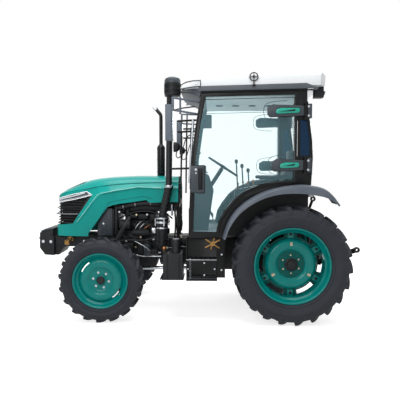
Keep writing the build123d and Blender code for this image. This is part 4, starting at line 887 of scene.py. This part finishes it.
HOUSINGS = (    # middle x, y, z and half sizes of the small housings bolted to both sides of the engine
    (690, 250, 1160, 16, 14, 26, "white_trim"), (652, 270, 1120, 22, 16, 12, "bright_steel"),
    (640, 275, 1070, 14, 14, 20, "bright_steel"), (300, 190, 1190, 45, 35, 22, "cast_iron"),
    (420, 175, 1185, 60, 40, 30, "cast_iron"), (540, 185, 1175, 30, 30, 40, "cast_iron"),
    (560, 230, 1010, 26, 22, 34, "bright_steel"), (330, 232, 905, 20, 25, 24, "cast_iron"),
    (250, 215, 820, 50, 30, 36, "cast_iron"), (150, 225, 760, 34, 40, 40, "cast_iron"),
    (690, 240, 940, 30, 36, 46, "cast_iron"), (770, 235, 870, 40, 30, 50, "cast_iron"),
    (870, 230, 840, 34, 26, 36, "cast_iron"), (960, 225, 880, 44, 30, 40, "cast_iron"),
)
BAY_BOLTS = ((128, 1245), (345, 1210), (480, 1215), (258, 1140), (620, 1165), (705, 1070), (555, 905),
             (395, 930), (215, 880), (330, 800), (600, 720), (730, 800), (820, 905), (905, 930))
AIR_DUCT = ((110, 200, 1300), (260, 235, 1335), (430, 240, 1365), (600, 235, 1355), (740, 200, 1330))


def engine_bay():
    """Pipes, looms, housings and bolts, the ducts under the heat shield and the radiator's side panels."""
    for name, radius, finish, points in ENGINE_LINES:
        line(name, front(*points), radius, finish)
        if name in ON_BOTH_SIDES:
            line(name + "_right", front(*points, s=-1), radius, finish)
    for k, (x, z) in enumerate(BAY_BOLTS):
        place = front((x, -245 - 12 * (k % 3), z))[0]
        hex_bolt(f"bay_bolt_{k}", place, -1, 9, 10, ("bright_steel", "gold_zinc")[k % 2])
    lathed("filter_cap", [(0.0, 1.284), (0.029, 1.284), (0.029, 1.350), (0.024, 1.358), (0.0, 1.358)],
           *front((222, -150, 0)), "white_trim", 40)
    lathed("oil_filter_skin", [(0.0, 0.700), (0.040, 0.702), (0.048, 0.712), (0.048, 0.850), (0.0, 0.850)],
           *front((480, -255, 0)), "hinge_cover", 40)
    bar("oil_filter_head", front((480, -255, 850), (480, -255, 885)), 52, "cast_iron", 4)
    block("oil_filter_stay", front((455, -250, 852), (505, -165, 884)), "cast_iron", 4)
    shield = front((95, 1235), (95, 1395), (180, 1425), (480, 1455), (800, 1460), (838, 1440), (838, 1250))
    plate("heat_shield", shield, -165, 165, "black_plastic", 20, 3)
    block("fan_shroud", front((62, -235, 950), (104, 235, 1345)), "black_plastic", 12, 3)
    block("bulkhead", front((846, -295, 985), (858, 295, 1370)), "black_paint", 4)
    for s, side in SIDES:
        mark = side[0]
        for k, (x, y, z, a, b, c, finish) in enumerate(HOUSINGS):
            block(f"bay_block_{k}_{mark}", front((x - a, y - b, z - c), (x + a, y + b, z + c), s=s), finish, 5)
        line(f"air_duct_{mark}", front(*AIR_DUCT, s=s), 42, "hose_rubber")
        for k, (x, z) in enumerate(((180, 1317), (330, 1350), (520, 1362), (660, 1347))):
            hoop(f"duct_clamp_{mark}{k}", *front((x, 236, z), s=s), (1, 0, 0.12), 43, 3, "bright_steel", 32, 6)
        name = f"radiator_side_{mark}"
        panel = [cube(name, front((-140, 250, 950), (40, 257, 1290), s=s))]
        panel += [cube("rib", front((x, 255, 985), (x + 16, 261, 1255), s=s)) for x in (-105, -45, 5)]
        put(bevelled(joined(name, panel), 2), "hinge_cover")
        hex_bolt(f"radiator_bolt_{mark}", *front((-70, 262, 1100), s=s), s, 9, 8)


def front_end():
    """The ballast's lid, groove and bolts, and the tow shackles and hooks behind it."""
    plate("weight_lid", front((-872, 988), (-806, 1006), (-716, 1024), (-700, 1036), (-745, 1040), (-812, 1030),
                              (-868, 1006)), -235, 235, "hinge_cover", 6)
    groove = front((-887, 905), (-883, 905), (-883, 925), (-887, 925))
    put(side_slab("weight_groove", groove, -0.252, 0.252), "rubber_seal")
    for s, side in SIDES:
        mark = side[0]
        for k, (x, z) in enumerate(((-838, 872), (-742, 868))):
            hex_bolt(f"weight_bolt_{mark}{k}", *front((x, 250, z), s=s), s, 14, 10)
        for k, z in enumerate((905, 975)):
            place = front((-470 + 30 * k, 262, z), s=s)[0]
            hoop(f"shackle_{mark}{k}", place, (0.5, 1, 0.2), 20, 6, "brass", 24, 8)
        name = f"hook_plate_{mark}"
        hook = [bevelled(cube(name, front((-562, 261, 832), (-500, 275, 892), s=s)), 6, 3)]
        for j in range(5):
            place, odd = front((-520 + 17 * j, 280, 880 + 30 * j), s=s)[0], j % 2
            hook.append(smooth(ring("link", place, (0.3 * odd, 1, 0.6 * odd), 16, 5, 20, 8), 60))
        put(joined(name, hook), "brass")
        bar(f"shackle_pin_{mark}", front((-478, 190, 925), (-478, 285, 925), s=s), 9, "brass", 1, 12)
        bar(f"tray_bolt_{mark}", front((-330, 195, 870), (-330, 212, 870), s=s), 16, "bright_steel", 1, 6)


# ------------------------------------------------------------------ intake stack, exhaust and tank
STACK_BANDS = (     # name, x from the front axle, y, low z, high z, radius, finish, sides, rounding
    ("can_band_low", 682, -430, 905, 925, 75.5, "black_paint", 64, 3),
    ("can_band_mid", 682, -430, 1060, 1078, 75.5, "bright_steel", 64, 3),
    ("can_flange", 682, -430, 1125, 1150, 83, "bright_steel", 64, 3),
    ("can_flange_top", 682, -430, 1178, 1197, 84, "bright_steel", 64, 3),
    ("stack_clamp", 765, -430, 1560, 1588, 54.5, "bright_steel", 48, 2),
    ("stack_collar", 778, -430, 2460, 2500, 44, "black_paint", 40, 2),
    ("muffler_band_0", 591, 430, 1735, 1751, 56.5, "black_paint", 48, 2),
    ("muffler_band_1", 591, 430, 1900, 1916, 56.5, "black_paint", 48, 2),
    ("muffler_band_2", 591, 430, 2050, 2066, 56.5, "black_paint", 48, 2),
)


def stacks():
    """Bands and clips of the air stack and the exhaust, and the fittings of the tank and the battery box."""
    for name, x, y, low, high, radius, finish, sides, edge in STACK_BANDS:
        bar(name, front((x, y, low), (x, y, high)), radius, finish, edge, sides)
    for k in range(4):
        clip = bevelled(cube(f"can_clip_{k}", front((673, -522, 1095), (691, -510, 1185))), 2)
        put(turned(clip, (0, 0, 1), 20 + 90 * k, *front((682, -430, 0))), "bright_steel")
    for k in range(7):
        z = 1235 + 45 * k
        x = 682 + 83 * (z - 1199) / 361
        hoop(f"hose_rib_{k}", *front((x, -430, z)), (0.22, 0, 1), 47, 5, "hose_rubber", 40, 8)
    rib = cube("cleaner_ribs", front((811.5, -531.5, 2690), (818.5, -522, 2800)))
    put(round_copies(rib, 28, (0, 0, 1), *front((815, -430, 0))), "black_plastic")
    dome = [(0.0, 2.880), (0.050, 2.878), (0.086, 2.862), (0.0975, 2.838), (0.0975, 2.806), (0.0, 2.806)]
    lathed("cleaner_cap", dome, *front((815, -430, 0)), "hinge_cover", 64, angle=30)
    stay = front((800, -450, 2480), (950, -550, 2500), (1088, -680, 2500))
    line("stack_stay", stay, 8, "black_paint", bend=False)
    lathed("exhaust_tip", [(0.0255, 0.0), (0.0255, 0.055), (0.0205, 0.055), (0.0205, 0.0)],
           *front((528, 430, 2591)), "bright_steel", 40, (-0.64, 0, 0.77), 30, closed=True)
    tank_top = rear((-1336, -600, 0))[0]
    cap = [(0.0, 0.955), (0.040, 0.955), (0.052, 0.945), (0.058, 0.925), (0.058, 0.885), (0.0, 0.885)]
    lathed("tank_cap", cap, tank_top, "black_plastic", angle=30)
    lathed("tank_cap_top", [(0.0, 0.962), (0.034, 0.962), (0.042, 0.957), (0.042, 0.952), (0.0, 0.952)],
           tank_top, "grey_plastic", angle=30)
    for s, side in SIDES:
        for k, x in enumerate((-1440, -1300)):
            block(f"box_strap_{side[0]}{k}", rear((x, 425, 508), (x + 22, 764, 803), s=s), "black_paint", 3)
        hex_bolt(f"plinth_bolt_{side[0]}", *rear((-1500, 765, 502), s=s), s, 7, 6)
    put(smooth(ball("yellow_cap", *rear((-1480, -600, 845)), 16), 60), "amber")
    put(rod("yellow_cap_stem", rear((-1480, -600, 795), (-1480, -600, 840)), 6, 12), "brass")


# ------------------------------------------------------------------ doors
HINGE_ARMS = ((2367, 2511, -286), (1753, 1899, -236))      # low z, high z and front end of the two covers
DOOR_SEAL = ((-1150, 1052), (-838, 1052), (-806, 1200), (-729, 1318), (-628, 1440), (-508, 1535), (-355, 1606),
             (-160, 1642), (20, 1664), (20, 2594), (-1030, 2570), (-1088, 2300), (-1128, 1900), (-1150, 1052))


def grown(points, grow):
    """A closed (x, z) outline grown from its middle each way."""
    middle_x, middle_z = (sum(values) / len(points) for values in zip(*points))
    return [(x + math.copysign(grow, x - middle_x), z + math.copysign(grow, z - middle_z)) for x, z in points]


def door_hinge(s, side, k, low, high, start):
    """The cover of one hinge with its inlay, the pad behind it and the block on the cab's post."""
    body, tag = f"door_{side}", f"{side}_{k}"
    level = (low + high) / 2
    cover = ((start + 2, level - 36), (start + 34, low + 4), (120, low + 18), (120, high - 18),
             (start + 64, high - 4), (start + 2, level + 36))
    inlay = ((start + 92, level - 22), (start + 112, level - 34), (60, level - 24), (78, level - 6),
             (70, level + 30), (start + 150, level + 32), (start + 100, level + 14))
    blade = ((start + 128, level - 12), (20, level - 4), (30, level + 18))
    pad_line = ((-60, low - 45), (start - 10, low - 45), (start - 48, level), (start - 10, high + 45),
                (-60, high + 45))
    plate(f"hinge_cover_{tag}", rear(*cover), s * 780, s * 794, "hinge_cover", 5, 3, body)
    plate(f"hinge_inlay_rim_{tag}", rear(*grown(inlay, 6)), s * 790, s * 795.5, "rubber_seal", 1, 2, body)
    plate(f"hinge_inlay_{tag}", rear(*inlay), s * 792, s * 797.5, "teal_inlay", 2, 2, body)
    put(side_slab(f"hinge_blade_{tag}", rear(*blade), s * 0.796, s * 0.7995), "rubber_seal", body)
    line(f"hinge_pad_{tag}", rear(*[(x, 735, z) for x, z in pad_line], s=s), 3, "rubber_seal", body, sides=2)
    block(f"hinge_block_{tag}", rear((172, 722, low - 10), (222, 757, high + 12), s=s), "hinge_cover", 6, 3)
    for j, z in enumerate((low + 20, high - 20)):
        hex_bolt(f"hinge_bolt_{tag}{j}", *rear((185, 754.5, z), s=s), s, 10, 8)


def door_details(s, side):
    """Hinge covers, lock, handle, seal and sill of one door."""
    body = f"door_{side}"
    for k, arm in enumerate(HINGE_ARMS):
        door_hinge(s, side, k, *arm)
    block(f"lock_plate_{side}", mid((-60, 752, 1512), (100, 782, 1820), s=s), "hinge_cover", 10, 3, body)
    block(f"handle_dish_{side}", mid((30, 772, 1545), (82, 784, 1790), s=s), "rubber_seal", 4, 2, body)
    grip = mid((56, 780, 1775), (56, 804, 1765), (56, 808, 1680), (56, 804, 1575), (56, 780, 1562), s=s)
    line(f"door_handle_{side}", grip, 10, "black_plastic", body)
    bar(f"door_key_{side}", mid((5, 782, 1775), (5, 788, 1775), s=s), 14, "bright_steel", 2, 32, body)
    bar(f"door_push_{side}", mid((5, 782, 1735), (5, 786, 1735), s=s), 9, "bright_steel", 1, 24, body)
    seal = rear(*[(x, 750.5, z) for x, z in DOOR_SEAL], s=s)
    line(f"door_seal_{side}", seal, 5, "rubber_seal", body, False, 3)
    # a thin bright aluminium line along the door's edge, a painted highlight
    light = rear((58, 750.5, 1930), (58, 750.5, 2100), (58, 750.5, 2330), s=s)
    line(f"door_edge_highlight_{side}", light, 3, "aluminium", body, False, 2)
    block(f"door_sill_{side}", rear((-1140, 660, 1020), (-850, 700, 1030), s=s), "aluminium", 3)


# ------------------------------------------------------------------ roof and cab trim
ROOF_BAND = ((-1070, 2668), (228, 2698), (262, 2676), (300, 2700), (160, 2757), (-1070, 2724))
VISOR = ((-1280, 2700), (-1262, 2738), (-1210, 2768), (-1130, 2784), (-1046, 2790), (-1042, 2722),
         (-1120, 2716), (-1200, 2704), (-1270, 2690))
LADDER = (      # ends and radius of the bars and rungs before the front post
    ((-176, 600, 1660), (-166, 600, 2220), 10), ((-118, 600, 1500), (-106, 600, 2360), 9),
    ((-215, 600, 2215), (-5, 655, 2221), 12), ((-215, 600, 2342), (-5, 655, 2348), 12),
    ((-290, 600, 1785), (-60, 655, 1791), 12),
)
LAMP_CABLE = ((-215, 600, 2010), (-240, 610, 1950), (-215, 610, 1905), (-175, 615, 1930), (-150, 620, 2020),
              (-120, 630, 2140), (-60, 650, 2190), (10, 668, 2170))


def sight_ring(s, side):
    """A round ring with a cross on a short stem at the roof's edge."""
    centre = Vector(*rear((-439, 749, 2826), s=s))

    def off(*steps):
        return [centre + Vector(step) * MM for step in steps]

    parts = [
        ring("sight", centre, (0, 1, 0), 46, 6, 48, 10),
        rod("spoke", off((-46, 0, 0), (46, 0, 0)), 4.5, 12),
        rod("spoke", off((0, 0, -46), (0, 0, 46)), 4.5, 12),
        rod("stem", off((0, 0, -95), (0, 0, -46)), 6, 12), rod("boss", off((0, -6, 0), (0, 6, 0)), 13),
        cube("foot", off((-16, -9, -108), (16, 9, -86))),
    ]
    put(smooth(joined(f"sight_ring_{side}", parts), 40), "black_paint")


def front_post(s, side):
    """Ladder bars, grab rail, round lamp with its cable and the mirror's pane."""
    bars = [smooth(rod("bar", mid(start, end, s=s), radius, 16), 60) for start, end, radius in LADDER]
    put(joined(f"pillar_ladder_{side}", bars), "black_paint")
    bar(f"grab_rail_{side}", mid((-75, 665, 1620), (-30, 665, 2360), s=s), 14, "bright_steel", 4)
    stays = []
    for t in (0.02, 0.5, 0.97):
        ends = mid((-75 + 45 * t, 665, 1620 + 740 * t), (20 + 30 * t, 668, 1640 + 740 * t), s=s)
        stays.append(rod("stay", ends, 9, 12))
    put(joined(f"rail_stays_{side}", stays), "black_paint")
    lamp = mid((-262, 600, 2040), s=s)[0]
    drum = [(0.0, 0.0), (0.058, 0.0), (0.060, 0.014), (0.052, 0.045), (0.030, 0.072), (0.0, 0.078)]
    lathed(f"round_lamp_{side}", drum, lamp, "black_plastic", axis=(1, 0, 0))
    lathed(f"round_lamp_lens_{side}", [(0.0, -0.008), (0.046, -0.003), (0.054, 0.002), (0.0, 0.004)],
           lamp, "lens", axis=(1, 0, 0))
    put(rod(f"round_lamp_stem_{side}", mid((-215, 600, 2040), (-172, 600, 2045), s=s), 12, 16), "black_paint")
    line(f"lamp_cable_{side}", mid(*LAMP_CABLE, s=s), 6, "hose_rubber")
    block(f"mirror_pane_{side}", rear((-1346, 885, 2115), (-1342.5, 1000, 2466), s=s), "mirror", 1.5)


def roof_side(s, side):
    """Band, gasket, marker and rear lamp of one edge of the roof."""
    plate(f"roof_band_{side}", rear(*ROOF_BAND), s * 733, s * 742.5, "rim_grey", 3)
    gasket = rear((-1062, 728, 2652), (-400, 728, 2667), (240, 728, 2682), s=s)
    line(f"roof_gasket_{side}", gasket, 8, "rubber_seal", bend=False)
    plate(f"marker_{side}", rear(*VISOR), s * 690, s * 744.5, "roof_shell", 10, 3)
    edge = rear(*[(x, 745.5, z) for x, z in VISOR + VISOR[:1]], s=s)
    line(f"marker_line_{side}", edge, 5, "rubber_seal", bend=False)
    put(smooth(ball(f"marker_lamp_{side}", *rear((-1092, 741, 2748), s=s), 13), 60), "lens")
    bar(f"rear_lamp_rim_{side}", rear((380, 540, 2656), (396, 540, 2650), s=s), 43, "black_plastic", 3, 48)
    bar(f"rear_lamp_lens_{side}", rear((388, 540, 2653), (399, 540, 2649), s=s), 36, "lens", 2, 48)


def cab_trim():
    """Head lining with its vents, the roof's front underside, the display and the wiper."""
    block("head_lining", rear((-985, -650, 2592), (120, 650, 2664)), "head_lining", 22, 3)
    vents = [rod("vent", rear((x, 0, 2580), (x, 0, 2594)), 45, 40) for x in range(-820, 20, 210)]
    put(bevelled(joined("air_vents", vents), 4), "dash_plastic")
    under = rear((-1262, 2690), (-1050, 2640), (-1046, 2654), (-1262, 2702))
    plate("roof_under", under, -700, 700, "rim_grey", 4)
    block("display", mid((45, -470, 2268), (185, -435, 2430)), "dash_plastic", 8, 3)
    block("display_face", mid((56, -440, 2281), (174, -434, 2416)), "screen", 2)
    put(rod("display_arm", mid((30, -600, 2360), (115, -455, 2350)), 12, 16), "dash_plastic")
    wiper = mid((45, 100, 2620), (20, 60, 2500), (-30, -50, 2200), (-52, -120, 2020))
    line("wiper_arm", wiper, 6, "black_paint", bend=False)


# ------------------------------------------------------------------ steps, chain and bracket under the cab
STEP_BOLTS = ((-1190, 630), (-880, 630), (-1000, 700), (-1000, 560), (-800, 800), (-800, 620))


def steps_of(s, side):
    """Treads, frame, chain and bolts of one pair of steps, and the brass equaliser above them."""
    out = max(s * v.co.y for v in frame["nodes"]["cab_steps"].data.vertices) / MM
    for k, z in enumerate((743, 528)):
        for j in range(6):
            x = -1190 + 56 * j
            tread = rear((x, out - 150, z + 1), (x + 30, out - 5, z + 7), s=s)
            block(f"tread_{side}_{k}{j}", tread, "black_plastic", 2)
        edge = rear((-1208, out, z - 9), (-855, out + 4, z - 4), s=s)
        block(f"tread_edge_{side}_{k}", edge, ("aluminium", "hinge_cover")[k], 1)
    around = ((-1196, 715), (-868, 715), (-868, 545), (-1196, 545), (-1196, 715))
    step_frame = rear(*[(x, out + 2, z) for x, z in around], s=s)
    line(f"step_frame_{side}", step_frame, 5, "black_plastic", bend=False)
    links = [ring("link", *mid((-62, out + 10, 735 - 21 * j), s=s), (j % 2, 1 - j % 2, 0), 10, 2.8, 16, 6)
             for j in range(11)]
    put(smooth(joined(f"step_chain_{side}", links), 60), "dull_steel")
    put(rod(f"chain_eye_{side}", mid((-62, out - 4, 745), (-62, out + 14, 745), s=s), 6, 12), "bright_steel")
    for k, (x, z) in enumerate(STEP_BOLTS):
        hex_bolt(f"step_bolt_{side}{k}", *rear((x, out + 1, z), s=s), s, 7, 6)
    star = [rod("arm", mid((195 - dx, out + 6, 925 - dz), (195 + dx, out + 10, 925 + dz), s=s), 9, 12)
            for dx, dz in ((85, 45), (80, -50), (20, 65))]
    star.append(rod("boss", mid((195, out - 4, 925), (195, out + 18, 925), s=s), 24))
    put(smooth(joined(f"brake_equaliser_{side}", star), 40), "brass")
    block(f"cab_wiring_box_{side}", mid((40, 350, 860), (270, 400, 985), s=s), "black_plastic", 6)


# ------------------------------------------------------------------ seat
CUSHION_SEAM = ((-470, 1490), (-380, 1510), (-256, 1513.5), (-130, 1510), (-44, 1490))


def pad(name, corners, crown):
    """A stuffed pad: a box whose faces swell by crown millimetres, while its corners stay in place."""
    o = cube(name, corners)
    in_edit(o, lambda: bpy.ops.mesh.subdivide(number_cuts=11))
    low, high = (Vector(corner) for corner in corners)
    middle, half = (low + high) / 2, (high - low) / 2
    for vert in o.data.vertices:
        t = [(vert.co[k] - middle[k]) / half[k] for k in range(3)]
        for k in range(3):
            others = [abs(t[j]) for j in range(3) if j != k]
            swell = (1 - others[0] ** 4) * (1 - others[1] ** 4)
            vert.co[k] += t[k] * swell * crown[k] * MM
    return smooth(bevelled(o, 12, 3, 60), 60)


def seat():
    """Cushion and back with sewn panels and piping, on the seat's base."""
    cushion = pad("seat_cushion", rear((-476, -235, 1397), (-36, 235, 1495)), (6, 6, 18))
    back = pad("seat_back", rear((-22, -225, 1500), (64, 225, 1900)), (16, 6, 10))
    turned(back, (0, 1, 0), math.degrees(math.atan(0.13)), *rear((-22, 0, 1440)))
    back.data.transform(Matrix.Translation((-0.010, 0, 0)))
    put(back, "seat_cloth")
    stand_in(cushion, "seat_pads", "seat_cloth")
    for s, side in SIDES:
        seam = rear(*[(x, 140, z) for x, z in CUSHION_SEAM], s=s)
        line(f"cushion_seam_{side}", seam, 3.5, "black_plastic", sides=2)
        block(f"armrest_{side}", rear((-330, 236, 1655), (40, 288, 1700), s=s), "dash_plastic", 18, 4)
        put(rod(f"armrest_stay_{side}", rear((10, 235, 1660), (60, 235, 1500), s=s), 12, 16), "black_paint")
    head = pad("head_rest", rear((60, -130, 1905), (125, 130, 2010)), (10, 4, 6))
    put(head, "seat_cloth")


# ------------------------------------------------------------------ inside the cab
def cab_inside():
    """Gauges, pedals, column levers and the knobs of the side console."""
    for k, (x, y, r) in enumerate(((-1003, -70, 0.045), (-1003, 70, 0.045), (-1000, 0, 0.022))):
        dial = [(0.0, 0.0), (r, 0.0), (r, 0.010), (r * 0.86, 0.012), (r * 0.84, 0.006), (0.0, 0.006)]
        finish = "screen" if k == 2 else "black_plastic"
        lathed(f"gauge_{k}", dial, *rear((x, y, 1750)), finish, 40, (0.55, 0, 0.83))
    pedals = []
    for y in (-145, -60, 110):
        pedals.append(cube("pedal", rear((-905, y - 35, 1135), (-893, y + 35, 1205))))
        pedals.append(rod("pedal_arm", rear((-902, y, 1170), (-960, y, 1300)), 8, 12))
    put(bevelled(joined("pedals", pedals), 3), "black_plastic")
    levers = [rod("lever", rear((-840, 30, 1735), (-790, 170, 1800), s=s), 6, 12) for s, _ in SIDES]
    put(joined("column_levers", levers), "black_plastic")
    knobs = []
    for x, y, z in ((-540, 470, 1580), (-470, 500, 1600), (-400, 470, 1600), (-330, 500, 1620)):
        foot, top = rear((x, y, 1500), (x - 12, y, z))
        knobs += [rod("stem", (foot, top), 6, 12), ball("knob", top, 17, 16)]
    put(smooth(joined("console_knobs", knobs), 50), "amber")
    grip = [(0.0, -0.024), (0.016, -0.022), (0.023, 0.0), (0.022, 0.020), (0.012, 0.032), (0.0, 0.034)]
    for k, place in enumerate(rear((-580, 370, 1880), (-500, 420, 1820), (-420, 370, 1760))):
        lathed(f"lever_knob_{k}", grip, place, "black_plastic", 28, angle=50)


engine_bay()
front_end()
stacks()
for s, side in SIDES:
    door_details(s, side)
    roof_side(s, side)
    sight_ring(s, side)
    front_post(s, side)
    steps_of(s, side)
cab_trim()
seat()
cab_inside()


# ------------------------------------------------------------------ camera, floor and light
def seen_share(tree):
    """One for rays from the camera, a mirror or glass, and nought for the rays that light the scene."""
    rays = add(tree, "LightPath").outputs
    seen = add(tree, "Math", {0: rays["Is Camera Ray"], 1: rays["Is Glossy Ray"]}, operation="MAXIMUM")
    seen = add(tree, "Math", {0: seen.outputs["Value"], 1: rays["Is Transmission Ray"]}, operation="MAXIMUM")
    return seen.outputs["Value"]


def stage():
    """The camera, a white floor and world that still look white, and three soft lights."""
    bpy.ops.object.camera_add(location=(0.179, -6.694, 1.784), rotation=(math.pi / 2 - 0.060, 0, 0.0216))
    camera = bpy.context.object
    camera.data.lens, camera.data.sensor_width = 46.59, 36.0
    bpy.context.scene.camera = camera
    clear()
    bpy.ops.mesh.primitive_plane_add(size=60, location=(0, 0, 0))
    floor = bpy.context.object
    floor.name = "floor"
    material, tree, out = blank("white_floor")
    glow = add(tree, "Math", {0: seen_share(tree), 1: 0.72}, operation="MULTIPLY")
    paint = add(tree, "BsdfDiffuse", {"Color": (0.6, 0.6, 0.6, 1.0)})
    light = add(tree, "Emission", {"Strength": glow.outputs["Value"]})
    both = add(tree, "AddShader", {0: paint.outputs["BSDF"], 1: light.outputs["Emission"]})
    tree.links.new(both.outputs["Shader"], out.inputs["Surface"])
    floor.data.materials.append(material)

    world = bpy.data.worlds.new("studio")
    bpy.context.scene.world = world
    world.use_nodes = True
    tree = world.node_tree
    tree.nodes.clear()
    strength = add(tree, "MapRange", {"Value": seen_share(tree), "To Min": 0.55, "To Max": 1.0})
    sky = add(tree, "Background", {"Color": (1, 1, 1, 1), "Strength": strength.outputs["Result"]})
    tree.links.new(sky.outputs["Background"], add(tree, "OutputWorld").inputs["Surface"])

    lights = (      # name, place, aimed at, size across, power in watts
        ("overhead", (0.0, -0.6, 6.5), (0, 0, 0.8), 6.0, 420),
        ("camera_side", (-2.5, -7.5, 4.2), (0, 0, 1.1), 4.0, 230),
        ("far_side", (1.5, 6.5, 4.5), (0, 0, 1.2), 4.0, 160),
    )
    for name, place, target, size, power in lights:
        clear()
        bpy.ops.object.light_add(type="AREA", location=place)
        lamp = bpy.context.object
        lamp.name = name
        lamp.rotation_euler = (Vector(target) - Vector(place)).to_track_quat("-Z", "Y").to_euler()
        lamp.data.size, lamp.data.energy = size, power
    bpy.context.scene.view_settings.view_transform = "Standard"


stage()
